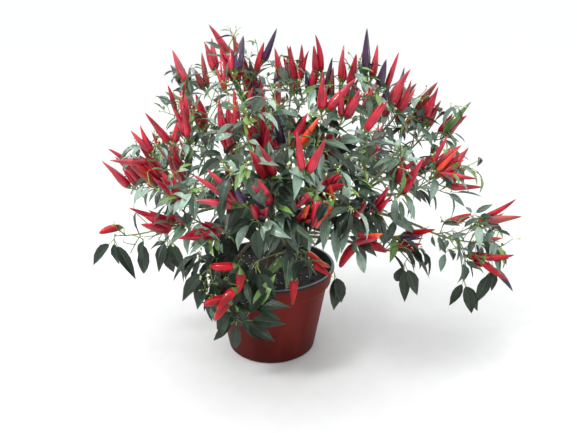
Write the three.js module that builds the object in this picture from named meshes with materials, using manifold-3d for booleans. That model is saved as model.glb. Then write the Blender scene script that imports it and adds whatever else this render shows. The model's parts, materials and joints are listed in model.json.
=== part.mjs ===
// Ornamental chilli pepper plant in a plastic nursery pot, at its real size.
// Millimetres, +Z up. The origin is the centre of the pot's flat underside, +X is the side that the
// crown spreads further to, and azimuths are counted from +X towards +Y.
//
// The pot holds potting soil. A short woody trunk stands on the soil and carries the boughs. Each bough
// is one tapering limb that ends in a spray: a stem with twigs, hanging leaves and upright chillies.

import * as THREE from "three";
import { mergeVertices } from "three/addons/utils/BufferGeometryUtils.js";
import Module from "manifold-3d";

const wasm = await Module();
wasm.setup();

// ---- Driving dimensions --------------------------------------------------------------------------

const GAP = 0.3; // between solids that touch on the real plant
const SEAT_GAP = 0.36; // how far a limb is swollen before it is cut from the ones that grow from it

const POT = {
  height: 170,
  footRadius: 83,
  footChamfer: 4,
  shoulderRadius: 106.5, // top of the plain taper
  shoulderHeight: 130,
  collarRadius: 114, // the wider band above the shoulder
  collarHeight: 140,
  rimRadius: 117.5,
  lipRadius: 120.5,
  lipHeight: 6,
  lipEdge: 1.2, // rounding of the lip's two edges
  wall: 2.4,
  floor: 3,
  segments: 32,
};
const DRAIN = { count: 6, radius: 6, ringRadius: 50, sides: 6 };
const SOIL = { belowRim: 15, crown: 3, seatRadius: 24, edge: 2 };

const TRUNK = {
  height: 88,
  flareRadius: 13,
  flareShare: 0.16, // of the height, over which the flare dies out
  footRadius: 8.2,
  tipRadius: 6.2,
  lean: new THREE.Vector2(14, -5), // of the tip from the foot
  bendShare: 0.55, // of the height that the trunk rises upright before it leans
  sides: 10,
  steps: 8,
};
const MAIN_BOUGH = { footRadius: 4.3, tipRadius: 2.4, arch: 0.16, sides: 6, steps: 5 };
const SIDE_BOUGH = { footRadius: 2.7, tipRadius: 2.0, arch: 0.1, sides: 5, steps: 3 };

// Each row is one bough and the spray that it carries. from is the limb it leaves, at is how far along that
// limb, and azimuth, reach and height (over the underside) place the middle of its spray, whose
// twigs and leaves stay within spread of that middle.
const BOUGHS = [
  { name: "leader", from: "trunk", at: 1, azimuth: 40, reach: 55, height: 475, spread: 100 },
  { name: "right", from: "trunk", at: 0.62, azimuth: 0, reach: 290, height: 335, spread: 100 },
  { name: "left", from: "trunk", at: 0.72, azimuth: 185, reach: 195, height: 345, spread: 100 },
  { name: "front", from: "trunk", at: 0.5, azimuth: 270, reach: 215, height: 365, spread: 105 },
  { name: "back", from: "trunk", at: 0.56, azimuth: 90, reach: 220, height: 330, spread: 115 },
  { name: "right_front", from: "trunk", at: 0.36, azimuth: 300, reach: 215, height: 320, spread: 100 },
  { name: "left_front", from: "trunk", at: 0.3, azimuth: 230, reach: 195, height: 325, spread: 95 },
  { name: "right_upper", from: "trunk", at: 0.84, azimuth: 20, reach: 235, height: 425, spread: 105 },
  { name: "top_left", from: "leader", at: 0.55, azimuth: 140, reach: 80, height: 510, spread: 105 },
  { name: "top_right", from: "right_upper", at: 0.5, azimuth: 355, reach: 135, height: 480, spread: 100 },
  { name: "left_back_upper", from: "leader", at: 0.3, azimuth: 140, reach: 190, height: 450, spread: 100 },
  { name: "back_upper", from: "leader", at: 0.42, azimuth: 85, reach: 150, height: 430, spread: 100 },
  { name: "left_upper", from: "left", at: 0.45, azimuth: 205, reach: 120, height: 415, spread: 95 },
  { name: "left_low", from: "left", at: 0.62, azimuth: 195, reach: 235, height: 255, spread: 80 },
  { name: "front_upper", from: "front", at: 0.4, azimuth: 265, reach: 125, height: 430, spread: 95 },
  { name: "front_low", from: "front", at: 0.3, azimuth: 290, reach: 155, height: 245, spread: 65 },
  { name: "left_front_low", from: "left_front", at: 0.34, azimuth: 240, reach: 170, height: 205, spread: 90 },
  { name: "right_middle", from: "right", at: 0.36, azimuth: 335, reach: 210, height: 365, spread: 95 },
  { name: "right_high", from: "right", at: 0.66, azimuth: 10, reach: 285, height: 405, spread: 95 },
  { name: "right_low", from: "right", at: 0.55, azimuth: 0, reach: 365, height: 215, spread: 100 },
  { name: "right_front_low", from: "right_front", at: 0.5, azimuth: 335, reach: 245, height: 240, spread: 80 },
  { name: "inner_right", from: "right_upper", at: 0.3, azimuth: 305, reach: 130, height: 400, spread: 85 },
  { name: "back_left", from: "back", at: 0.42, azimuth: 135, reach: 245, height: 300, spread: 115 },
  { name: "back_right", from: "back", at: 0.5, azimuth: 45, reach: 255, height: 300, spread: 115 },
];

// The rule by which every spray grows from its bough's tip.
const SPRAY = {
  seed: 7,
  stemStart: 0.66, // of the spread, from the spray's middle back to the bough's tip
  stemEnd: 0.5, // of the spread, from the middle out to the stem's own tip
  stemLift: 0.12, // of the spread, that the stem's tip rises
  stemBend: 0.45, // of the stem's length, over which it still runs on as its bough did
  stemRadius: 2.6,
  stemSteps: 4,
  twigSpacing: 21, // mm of spread for each twig
  firstTwig: 0.08,
  lastTwig: 0.9,
  twigFootShare: 0.66, // a low twig's length, of the spread
  twigTipShare: 0.42,
  twigLength: [0.88, 1.12], // by chance
  twigTurn: [-0.45, 0.45], // radians, by chance, about the stem
  twigRadius: 1.8,
  tipRadius: 1.5,
  splay: THREE.MathUtils.degToRad(58), // between a twig and the stem
  twigLift: 0.2, // of a twig's length
  tries: 8, // for a leaf or chilli to find room
  mostCrossing: 0.05, // mm3 that a leaf or chilli may share with one grown before it
  spaceGap: 1.6, // from a spray's own space to the next one's
  limbGap: 0.4, // the least air between a leaf or twig and a limb or the pot
};
const LEAF = {
  shares: [0.26, 0.5, 0.74, 0.96], // where leaves stand along a twig
  length: 86,
  width: 38,
  size: [0.7, 1.1], // by chance, as the next three are
  aside: [0.3, 1.4], // across the twig
  ahead: [0.3, 0.9], // along it
  down: [0.16, 1.44],
  faceLean: 0.6, // of the upper side, outwards
  thickness: 1.7,
  widest: 0.4, // of the length, from the root
  sunk: 0.4, // the root's depth past the twig's centre line
};
const CHILLI = {
  length: 66,
  size: [0.75, 1.1], // by chance
  radius: 5.4,
  shoulder: { radius: 0.95, share: 0.1 },
  waist: { radius: 0.75, share: 0.62 },
  bend: 0.07, // of the length, that the tip leaves the straight
  sides: 4,
  sunk: 1.5,
  upright: 0.75,
  scatter: [-0.36, 0.36],
  chance: 0.6, // that a shoot fruits
  most: 2,
};

// The number streams' own constants.
const STREAM = {
  multiplier: 1664525,
  increment: 1013904223,
  perSeed: 7919,
  perSpray: 131,
  perTwig: 17,
  skipped: 4,
};

const UP = new THREE.Vector3(0, 0, 1);
const GOLDEN_ANGLE = Math.PI * (3 - Math.sqrt(5));
const potTop = POT.height;
const soilTop = potTop - SOIL.belowRim;

// ---- Materials -----------------------------------------------------------------------------------

const finish = (name, color, roughness) =>
  new THREE.MeshStandardMaterial({ name, color, roughness, metalness: 0 });
const FINISH = {
  pot: finish("pot plastic", 0x7c3a30, 0.5),
  soil: finish("potting soil", 0x1e1614, 0.95),
  bark: finish("stem bark", 0x6e6a48, 0.8),
  foliage: finish("leaves and chillies", 0x3d5f4a, 0.45),
};

// ---- Solids --------------------------------------------------------------------------------------

// A closed three.js geometry as a manifold solid, and a manifold solid as a three.js geometry.
function solidOf(geometry) {
  const bare = geometry.clone();
  bare.deleteAttribute("normal");
  bare.deleteAttribute("uv");
  const merged = mergeVertices(bare);
  return new wasm.Manifold(
    new wasm.Mesh({
      numProp: 3,
      vertProperties: merged.getAttribute("position").array,
      triVerts: new Uint32Array(merged.index.array),
    }),
  );
}

function geometryOf(solid) {
  const mesh = solid.getMesh();
  const geometry = new THREE.BufferGeometry();
  geometry.setAttribute("position", new THREE.BufferAttribute(mesh.vertProperties, mesh.numProp));
  geometry.setIndex(new THREE.BufferAttribute(mesh.triVerts, 1));
  geometry.computeVertexNormals();
  return geometry;
}

// The largest of a solid's separate bodies.
const largest = (solid) =>
  solid.decompose().reduce((best, piece) => (piece.volume() > best.volume() ? piece : best));

// Moves every point of a geometry by a function of the point.
function reshape(geometry, move) {
  const position = geometry.getAttribute("position");
  const point = new THREE.Vector3();
  for (let i = 0; i < position.count; i++) {
    point.fromBufferAttribute(position, i);
    move(point);
    position.setXYZ(i, point.x, point.y, point.z);
  }
  return geometry;
}

// A closed limb whose centre line is curve and whose radius is radiusAt(share of the curve).
function limbGeometry(curve, radiusAt, sides, steps) {
  const chord = curve.getPoint(1).sub(curve.getPoint(0));
  const flat = new THREE.Vector3(chord.y, -chord.x, 0);
  if (flat.length() < 1) flat.set(0, 1, 0);
  return reshape(new THREE.CylinderGeometry(1, 1, 1, sides, steps), (point) => {
    const share = point.y + 0.5;
    const along = curve.getTangent(share);
    const normal = flat.clone().cross(along).normalize();
    const side = along.clone().cross(normal);
    const radius = radiusAt(share);
    const centre = curve.getPoint(share);
    const offset = side.multiplyScalar(point.x * radius).add(normal.multiplyScalar(point.z * radius));
    point.copy(centre).add(offset);
  });
}

const taper = (foot, tip) => (share) => THREE.MathUtils.lerp(foot, tip, share);

// ---- Pot and soil --------------------------------------------------------------------------------

// Outer radius of the pot's wall at a height over its underside.
function wallRadius(height) {
  const stations = [
    [0, POT.footRadius],
    [POT.shoulderHeight, POT.shoulderRadius],
    [POT.collarHeight, POT.collarRadius],
    [potTop, POT.rimRadius],
  ];
  const above = stations.findIndex(([z]) => z >= height && z > 0);
  const [z0, r0] = stations[above - 1];
  const [z1, r1] = stations[above];
  return THREE.MathUtils.mapLinear(height, z0, z1, r0, r1);
}

const cavityRadius = (height) => wallRadius(height) - POT.wall;

function potGeometry() {
  const lipFoot = potTop - POT.lipHeight;
  const profile = [
    [0, 0],
    [POT.footRadius - POT.footChamfer, 0],
    [wallRadius(POT.footChamfer), POT.footChamfer],
    [POT.shoulderRadius, POT.shoulderHeight],
    [POT.collarRadius, POT.collarHeight],
    [wallRadius(lipFoot), lipFoot],
    [POT.lipRadius - POT.lipEdge, lipFoot],
    [POT.lipRadius, lipFoot + POT.lipEdge],
    [POT.lipRadius, potTop - POT.lipEdge],
    [POT.lipRadius - POT.lipEdge, potTop],
    [cavityRadius(potTop), potTop],
    [cavityRadius(POT.collarHeight), POT.collarHeight],
    [cavityRadius(POT.shoulderHeight), POT.shoulderHeight],
    [cavityRadius(POT.floor), POT.floor],
    [0, POT.floor],
  ].map(([r, z]) => new THREE.Vector2(r, z));
  const bowl = new THREE.LatheGeometry(profile, POT.segments).rotateX(Math.PI / 2);
  let pot = solidOf(bowl);
  for (let i = 0; i < DRAIN.count; i++) {
    const angle = (2 * Math.PI * (i + 0.5)) / DRAIN.count;
    const bit = new THREE.CylinderGeometry(DRAIN.radius, DRAIN.radius, 4 * POT.floor, DRAIN.sides)
      .rotateX(Math.PI / 2)
      .translate(DRAIN.ringRadius * Math.cos(angle), DRAIN.ringRadius * Math.sin(angle), 0);
    pot = pot.subtract(solidOf(bit));
  }
  return geometryOf(pot);
}

function soilGeometry() {
  const foot = POT.floor + GAP;
  const edgeTop = soilTop - SOIL.crown;
  const inner = (height) => cavityRadius(height) - 1.5 * GAP;
  const profile = [
    [0, foot],
    [inner(foot), foot],
    [inner(POT.shoulderHeight), POT.shoulderHeight],
    [inner(POT.collarHeight), POT.collarHeight],
    [inner(edgeTop), edgeTop - SOIL.edge],
    [inner(edgeTop) - SOIL.edge, edgeTop],
    [SOIL.seatRadius, soilTop],
    [0, soilTop],
  ].map(([r, z]) => new THREE.Vector2(r, z));
  return new THREE.LatheGeometry(profile, POT.segments).rotateX(Math.PI / 2);
}

// ---- Trunk and boughs ----------------------------------------------------------------------------

function trunkLimb() {
  const foot = new THREE.Vector3(0, 0, soilTop + GAP);
  const tip = new THREE.Vector3(TRUNK.lean.x, TRUNK.lean.y, foot.z + TRUNK.height);
  const bend = new THREE.Vector3(0, 0, foot.z + TRUNK.bendShare * TRUNK.height);
  const curve = new THREE.QuadraticBezierCurve3(foot, bend, tip);
  const plain = taper(TRUNK.footRadius, TRUNK.tipRadius);
  const radiusAt = (share) => {
    const flare = Math.max(0, 1 - share / TRUNK.flareShare) ** 2;
    return plain(share) + flare * (TRUNK.flareRadius - TRUNK.footRadius);
  };
  return { curve, radiusAt, sides: TRUNK.sides, steps: TRUNK.steps };
}

// A bough leaves its parent's centre line, arches up and ends where its spray begins.
function boughLimb(row, parent) {
  const size = row.from === "trunk" ? MAIN_BOUGH : SIDE_BOUGH;
  const start = parent.curve.getPoint(row.at);
  if (row.at === 1) start.addScaledVector(parent.curve.getTangent(1), GAP);
  const outward = row.middle.clone().sub(start).normalize();
  const tip = row.middle.clone().addScaledVector(outward, -SPRAY.stemStart * row.spread);
  const length = start.distanceTo(tip);
  const bend = start.clone().lerp(tip, 0.5).addScaledVector(UP, size.arch * length);
  if (row.at === 1) bend.copy(start).addScaledVector(parent.curve.getTangent(1), length / 2);
  const curve = new THREE.QuadraticBezierCurve3(start, bend, tip);
  return { curve, radiusAt: taper(size.footRadius, size.tipRadius), sides: size.sides, steps: size.steps };
}

function limbSolid(limb, swell = 0) {
  const radiusAt = (share) => limb.radiusAt(share) + swell;
  return solidOf(limbGeometry(limb.curve, radiusAt, limb.sides, limb.steps));
}

// ---- Sprays --------------------------------------------------------------------------------------

// A seeded stream of numbers from 0 to 1. Each twig has its own, so that finer growth changes no other.
function numberStream(spray, twig) {
  let state = (SPRAY.seed * STREAM.perSeed + spray * STREAM.perSpray + twig * STREAM.perTwig + 1) >>> 0;
  const next = () => {
    state = (Math.imul(state, STREAM.multiplier) + STREAM.increment) >>> 0;
    return state / 2 ** 32;
  };
  for (let i = 0; i < STREAM.skipped; i++) next();
  return next;
}

const between = ([low, high], next) => THREE.MathUtils.lerp(low, high, next());

// The closed region that one spray keeps to: a ball round its middle, cut by a plane towards each neighbour.
function spaceOf(row) {
  const walls = BOUGHS.filter((other) => other !== row).map((other) => {
    const normal = other.middle.clone().sub(row.middle);
    const distance = normal.length();
    const share = (distance ** 2 + row.spread ** 2 - other.spread ** 2) / (2 * distance);
    return { normal: normal.normalize(), limit: share - SPRAY.spaceGap };
  });
  return (point) => {
    const offset = point.clone().sub(row.middle);
    return offset.length() <= row.spread && walls.every((wall) => offset.dot(wall.normal) <= wall.limit);
  };
}

// The spray's stem: it runs on from the bough's tip, through the middle, and lifts a little at its end.
function stemCurve(row, bough) {
  const along = bough.curve.getTangent(1);
  const foot = bough.curve.getPoint(1).addScaledVector(along, GAP);
  const outward = row.middle.clone().sub(foot).normalize();
  const tip = row.middle.clone().addScaledVector(outward, SPRAY.stemEnd * row.spread);
  tip.addScaledVector(UP, SPRAY.stemLift * row.spread);
  const bend = foot.clone().addScaledVector(along, SPRAY.stemBend * foot.distanceTo(tip));
  return new THREE.QuadraticBezierCurve3(foot, bend, tip);
}

// A twig leaves the stem at order, its share of the way from the first twig to the last, and at a turn
// about the stem.
function twigCurve(stem, row, order, turn, next) {
  const share = THREE.MathUtils.lerp(SPRAY.firstTwig, SPRAY.lastTwig, order);
  const along = stem.getTangent(share);
  const level = new THREE.Vector3(-along.y, along.x, 0).normalize();
  const side = level.applyAxisAngle(along, turn + between(SPRAY.twigTurn, next));
  const away = along.clone().multiplyScalar(Math.cos(SPRAY.splay));
  away.addScaledVector(side, Math.sin(SPRAY.splay));
  const lengthShare = THREE.MathUtils.lerp(SPRAY.twigFootShare, SPRAY.twigTipShare, share);
  const length = lengthShare * row.spread * between(SPRAY.twigLength, next);
  const foot = stem.getPoint(share);
  const tip = foot.clone().addScaledVector(away, length).addScaledVector(UP, SPRAY.twigLift * length);
  return new THREE.LineCurve3(foot, tip);
}

// Sets a geometry built along +Z from its root into place: its own +Z runs along, its +Y faces face.
function stand(geometry, root, along, face) {
  const z = along.clone().normalize();
  const x = face.clone().cross(z).normalize();
  const y = z.clone().cross(x);
  return geometry.applyMatrix4(new THREE.Matrix4().makeBasis(x, y, z).setPosition(root));
}

// A leaf blade of six faces: root, tip, two edges at the widest place, and a keel below.
function leafGeometry(size) {
  const length = LEAF.length * size;
  const profile = [
    [0, 0],
    [1, LEAF.widest * length],
    [0, length],
  ].map(([r, z]) => new THREE.Vector2(r, z));
  const blade = new THREE.LatheGeometry(profile, 3).rotateX(Math.PI / 2);
  return blade.scale((LEAF.width * size) / Math.sqrt(3), LEAF.thickness / 1.5, 1);
}

// A slim pointed fruit, widest near its root and bent a little towards its tip.
function chilliGeometry(size) {
  const length = CHILLI.length * size;
  const profile = [
    [0, 0],
    [CHILLI.shoulder.radius, CHILLI.shoulder.share],
    [CHILLI.waist.radius, CHILLI.waist.share],
    [0, 1],
  ].map(([r, z]) => new THREE.Vector2(r * CHILLI.radius, z * length));
  const pod = new THREE.LatheGeometry(profile, CHILLI.sides).rotateX(Math.PI / 2);
  return reshape(pod, (point) => {
    point.y += CHILLI.bend * length * (point.z / length) ** 2;
  });
}

// A leaf on a twig: it stands to one hand of the twig, and hangs outwards and down.
function leafOn(curve, share, hand, row, next) {
  const along = curve.getTangent(share);
  const root = curve.getPoint(share);
  const outward = root.clone().sub(row.middle).normalize();
  const side = along.clone().cross(UP).normalize().multiplyScalar(hand * between(LEAF.aside, next));
  const direction = side.addScaledVector(along, between(LEAF.ahead, next));
  direction.addScaledVector(UP, -between(LEAF.down, next)).normalize();
  const face = UP.clone().addScaledVector(outward, LEAF.faceLean);
  root.addScaledVector(direction, -LEAF.sunk);
  return stand(leafGeometry(between(LEAF.size, next)), root, direction, face);
}

// A chilli on a twig's tip: upright, and leaning out from the crown.
function chilliOn(curve, next) {
  const tip = curve.getPoint(1);
  const outward = tip.clone().sub(crownHeart).normalize();
  const direction = outward.clone().addScaledVector(UP, CHILLI.upright);
  direction.x += between(CHILLI.scatter, next);
  direction.y += between(CHILLI.scatter, next);
  direction.normalize();
  const root = tip.clone().addScaledVector(direction, -CHILLI.sunk);
  return stand(chilliGeometry(between(CHILLI.size, next)), root, direction, outward);
}

// A test for a twig, leaf or chilli of one spray: it gives the geometry as a solid, or null where that
// would leave the spray's space or touch a limb or the pot.
function fitIn(row, keepClear) {
  const isInside = spaceOf(row);
  return (geometry) => {
    const position = geometry.getAttribute("position");
    const point = new THREE.Vector3();
    for (let i = 0; i < position.count; i++) {
      if (!isInside(point.fromBufferAttribute(position, i))) return null;
    }
    const solid = solidOf(geometry);
    return solid.minGap(keepClear, 2 * SPRAY.limbGap) < SPRAY.limbGap ? null : solid;
  };
}

// The stem and the twigs that fit, each with its centre line and its number stream.
function shootsOf(row, index, bough, fit) {
  const stem = stemCurve(row, bough);
  const stemGeometry = limbGeometry(stem, taper(SPRAY.stemRadius, SPRAY.tipRadius), 3, SPRAY.stemSteps);
  const count = Math.round(row.spread / SPRAY.twigSpacing);
  const shoots = [{ curve: stem, solid: solidOf(stemGeometry), next: numberStream(index, count) }];
  for (let i = 0; i < count; i++) {
    const next = numberStream(index, i);
    const curve = twigCurve(stem, row, i / (count - 1), i * GOLDEN_ANGLE, next);
    const solid = fit(limbGeometry(curve, taper(SPRAY.twigRadius, SPRAY.tipRadius), 3, 1));
    if (solid) shoots.push({ curve, solid, next });
  }
  return shoots;
}

// One spray as a single solid: its shoots, and every leaf and chilli that finds room on them.
function spraySolid(row, index, bough, keepClear) {
  const fit = fitIn(row, keepClear);
  const shoots = shootsOf(row, index, bough, fit);
  const hung = [];
  for (const shoot of shoots) {
    const { curve, next } = shoot;
    const others = shoots.filter((other) => other !== shoot).map((other) => other.solid);
    const crosses = (solid) =>
      [...others, ...hung].some((other) => other.intersect(solid).volume() > SPRAY.mostCrossing);
    const hang = (make) => {
      for (let attempt = 0; attempt < SPRAY.tries; attempt++) {
        const solid = fit(make());
        if (!solid || crosses(solid)) continue;
        hung.push(solid);
        return;
      }
    };
    const pods = next() < CHILLI.chance ? 1 + Math.floor(CHILLI.most * next()) : 0;
    for (let i = 0; i < pods; i++) hang(() => chilliOn(curve, next));
    LEAF.shares.forEach((share, i) => hang(() => leafOn(curve, share, i % 2 === 0 ? 1 : -1, row, next)));
  }
  return largest(wasm.Manifold.union([...shoots.map((shoot) => shoot.solid), ...hung]));
}

// ---- The plant -----------------------------------------------------------------------------------

const plant = new THREE.Group();
plant.name = "chilli_plant";

function place(name, geometry, material) {
  const mesh = new THREE.Mesh(geometry, material);
  mesh.name = name;
  plant.add(mesh);
}

const potShape = potGeometry();
const soilShape = soilGeometry();
place("pot", potShape, FINISH.pot);
place("soil", soilShape, FINISH.soil);

for (const row of BOUGHS) {
  const angle = THREE.MathUtils.degToRad(row.azimuth);
  row.middle = new THREE.Vector3(row.reach * Math.cos(angle), row.reach * Math.sin(angle), row.height);
}

const limbs = { trunk: trunkLimb() };
const crownHeart = limbs.trunk.curve.getPoint(1);
const limbSolids = { trunk: limbSolid(limbs.trunk) };
let grown = limbSolid(limbs.trunk, SEAT_GAP);
for (const row of BOUGHS) {
  const limb = boughLimb(row, limbs[row.from]);
  limbs[row.name] = limb;
  limbSolids[row.name] = largest(limbSolid(limb).subtract(grown));
  grown = grown.add(limbSolid(limb, SEAT_GAP));
}
place("trunk", geometryOf(limbSolids.trunk), FINISH.bark);
for (const row of BOUGHS) place(`bough_${row.name}`, geometryOf(limbSolids[row.name]), FINISH.bark);

const keepClear = wasm.Manifold.union([solidOf(potShape), solidOf(soilShape), ...Object.values(limbSolids)]);
BOUGHS.forEach((row, index) => {
  const spray = spraySolid(row, index, limbs[row.name], keepClear);
  place(`spray_${row.name}`, geometryOf(spray), FINISH.foliage);
});

export default plant;
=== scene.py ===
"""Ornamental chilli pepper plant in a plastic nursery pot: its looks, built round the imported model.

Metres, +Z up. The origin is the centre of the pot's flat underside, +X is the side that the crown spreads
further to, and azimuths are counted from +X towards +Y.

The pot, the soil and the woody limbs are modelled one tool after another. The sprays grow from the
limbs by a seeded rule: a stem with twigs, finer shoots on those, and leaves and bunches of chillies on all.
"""

import json
import logging
import random
from dataclasses import dataclass, field
from enum import Enum
from math import cos, hypot, pi, radians, sin, sqrt
from typing import Iterator, Sequence

import bpy
import numpy as np
from mathutils import Color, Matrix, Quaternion, Vector

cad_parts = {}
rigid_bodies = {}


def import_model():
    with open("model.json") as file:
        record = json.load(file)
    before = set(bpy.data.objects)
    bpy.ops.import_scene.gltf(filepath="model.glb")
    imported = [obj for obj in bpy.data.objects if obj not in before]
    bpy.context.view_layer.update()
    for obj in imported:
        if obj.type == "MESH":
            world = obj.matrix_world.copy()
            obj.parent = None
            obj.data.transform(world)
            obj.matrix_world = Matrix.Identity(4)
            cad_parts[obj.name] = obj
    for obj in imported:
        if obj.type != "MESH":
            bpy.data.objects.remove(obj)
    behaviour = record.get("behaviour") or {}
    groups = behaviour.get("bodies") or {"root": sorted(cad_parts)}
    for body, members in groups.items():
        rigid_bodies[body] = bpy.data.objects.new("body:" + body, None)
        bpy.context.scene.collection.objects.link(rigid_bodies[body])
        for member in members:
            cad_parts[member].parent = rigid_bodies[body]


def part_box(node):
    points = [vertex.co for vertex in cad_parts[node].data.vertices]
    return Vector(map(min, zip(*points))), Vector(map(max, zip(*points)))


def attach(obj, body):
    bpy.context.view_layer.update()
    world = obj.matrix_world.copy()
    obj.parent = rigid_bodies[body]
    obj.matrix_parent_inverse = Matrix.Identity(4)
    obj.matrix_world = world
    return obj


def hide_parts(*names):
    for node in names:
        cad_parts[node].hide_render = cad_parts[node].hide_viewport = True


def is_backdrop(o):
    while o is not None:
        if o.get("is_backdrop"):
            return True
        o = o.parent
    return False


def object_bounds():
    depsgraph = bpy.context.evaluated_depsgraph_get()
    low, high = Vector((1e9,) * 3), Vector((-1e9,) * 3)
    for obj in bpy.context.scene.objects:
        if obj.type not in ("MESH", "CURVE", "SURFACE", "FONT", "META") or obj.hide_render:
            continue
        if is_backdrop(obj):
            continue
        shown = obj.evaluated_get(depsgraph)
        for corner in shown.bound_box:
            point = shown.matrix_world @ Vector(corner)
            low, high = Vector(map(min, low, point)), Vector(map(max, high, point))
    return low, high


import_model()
CAD_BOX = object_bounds()

log = logging.getLogger("chilli_plant")

BODY = "root"
UP = Vector((0.0, 0.0, 1.0))
TURN = 2 * pi
GOLDEN_ANGLE = pi * (3 - sqrt(5))
CENTIMETRES_PER_METRE = 100
LEAF_MAP = "leaf_map"

Colour = tuple[float, float, float, float]
Dice = random.Random
Material = bpy.types.Material
Pair = tuple[float, float]
Piece = bpy.types.Object
Triple = tuple[float, float, float]


def paint(red: int, green: int, blue: int) -> Colour:
    """Turn a colour of 0 to 255 a channel, as a paint chart gives it, into a shader's linear, opaque one."""
    chart = Color((red / 255, green / 255, blue / 255))
    return (*chart.from_srgb_to_scene_linear(), 1.0)


# ---- Shaders ----


class Value:
    """A number on a shader's socket, on which sums are written as plain expressions."""

    def __init__(self, graph: "Graph", socket: bpy.types.NodeSocket) -> None:
        """Wrap a socket of a graph."""
        self.graph = graph
        self.socket = socket

    def __add__(self, other: "Value | float") -> "Value":
        """Add a value or number."""
        return self.graph.maths("ADD", self, other)

    def __radd__(self, other: float) -> "Value":
        """Add to a number."""
        return self.graph.maths("ADD", other, self)

    def __sub__(self, other: "Value | float") -> "Value":
        """Take a value or number away."""
        return self.graph.maths("SUBTRACT", self, other)

    def __rsub__(self, other: float) -> "Value":
        """Take from a number."""
        return self.graph.maths("SUBTRACT", other, self)

    def __mul__(self, other: "Value | float") -> "Value":
        """Multiply by a value or number."""
        return self.graph.maths("MULTIPLY", self, other)


@dataclass(frozen=True)
class Noise:
    """Soft noise: its blotches in a metre, finer sizes on them, how strong those are, and its stretch."""

    scale: float
    detail: float = 2.0
    roughness: float = 0.5
    stretch: Triple = (1.0, 1.0, 1.0)


class Graph:
    """The node graph of one material, or of the air round the plant."""

    def __init__(self, holder: Material | bpy.types.World) -> None:
        """Start with an empty graph.

        Args:
            holder: The material or air that it belongs to.
        """
        holder.use_nodes = True
        self.holder = holder
        self.tree = holder.node_tree
        self.tree.nodes.clear()

    @classmethod
    def named(cls, name: str) -> "Graph":
        """Start a material with that name."""
        return cls(bpy.data.materials.new(name))

    def node(self, kind: str, settings: dict, sockets: dict) -> bpy.types.Node:
        """Add a node.

        Args:
            kind: The node's type.
            settings: Its settings, which are set first.
            sockets: Values or links of its inputs, by name or number.

        Returns:
            The new node.
        """
        made = self.tree.nodes.new(kind)
        for name, setting in settings.items():
            setattr(made, name, setting)
        for name, value in sockets.items():
            if isinstance(value, Value):
                self.tree.links.new(value.socket, made.inputs[name])
            else:
                made.inputs[name].default_value = value
        return made

    def value(self, kind: str, settings: dict, sockets: dict, output: int | str = 0) -> Value:
        """Add a node and wrap one of its outputs."""
        return Value(self, self.node(kind, settings, sockets).outputs[output])

    def maths(self, operation: str, first: Value | float, second: Value | float) -> Value:
        """Add a Math node on two values."""
        return self.value("ShaderNodeMath", {"operation": operation}, {0: first, 1: second})

    def mix(self, share: Value | float, first: Value | Colour, second: Value | Colour) -> Value:
        """Blend two colours: first where share is 0, second where it is 1."""
        sockets = {0: share, 6: first, 7: second}
        return self.value("ShaderNodeMix", {"data_type": "RGBA"}, sockets, 2)

    def height(self) -> Value:
        """Give the height over the pot's underside, in metres."""
        spot = self.value("ShaderNodeTexCoord", {}, {}, "Object")
        return self.value("ShaderNodeSeparateXYZ", {}, {0: spot}, 2)

    def noise(self, noise: Noise) -> Value:
        """Lay soft noise over the piece.

        Args:
            noise: What it is like.

        Returns:
            The noise, 0 to 1.
        """
        spot = self.value("ShaderNodeTexCoord", {}, {}, "Object")
        place = self.value("ShaderNodeMapping", {}, {"Vector": spot, "Scale": noise.stretch})
        sockets = {
            "Vector": place,
            "Scale": noise.scale,
            "Detail": noise.detail,
            "Roughness": noise.roughness,
        }
        return self.value("ShaderNodeTexNoise", {}, sockets)

    def band(self, value: Value, low: float, high: float) -> Value:
        """Give 0 below low, 1 above high and a smooth rise between."""
        settings = {"interpolation_type": "SMOOTHSTEP"}
        return self.value("ShaderNodeMapRange", settings, {0: value, 1: low, 2: high})

    def bump(self, height: Value, distance: float, strength: float = 1.0) -> Value:
        """Turn a height from 0 to 1 into a bumped normal, distance metres deep."""
        sockets = {"Height": height, "Distance": distance, "Strength": strength}
        return self.value("ShaderNodeBump", {}, sockets)

    def coat(
        self,
        colour: Value,
        roughness: Value,
        normal: Value,
        gloss: float = 0.5,
        wax: float = 0.0,
        wax_roughness: float = 0.03,
    ) -> Material:
        """Finish the material with a Principled shader.

        Args:
            colour: Its colour.
            roughness: Its roughness.
            normal: Its bumped normal.
            gloss: How strongly it mirrors, where 0.5 is usual.
            wax: How much of it a clear skin covers.
            wax_roughness: That skin's roughness.

        Returns:
            The finished material.
        """
        sockets = {
            "Base Color": colour,
            "Roughness": roughness,
            "Normal": normal,
            "Specular IOR Level": gloss,
            "Coat Weight": wax,
            "Coat Roughness": wax_roughness,
        }
        shader = self.value("ShaderNodeBsdfPrincipled", {}, sockets)
        self.node("ShaderNodeOutputMaterial", {}, {"Surface": shader})
        return self.holder


# ---- Finishes ----


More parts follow.
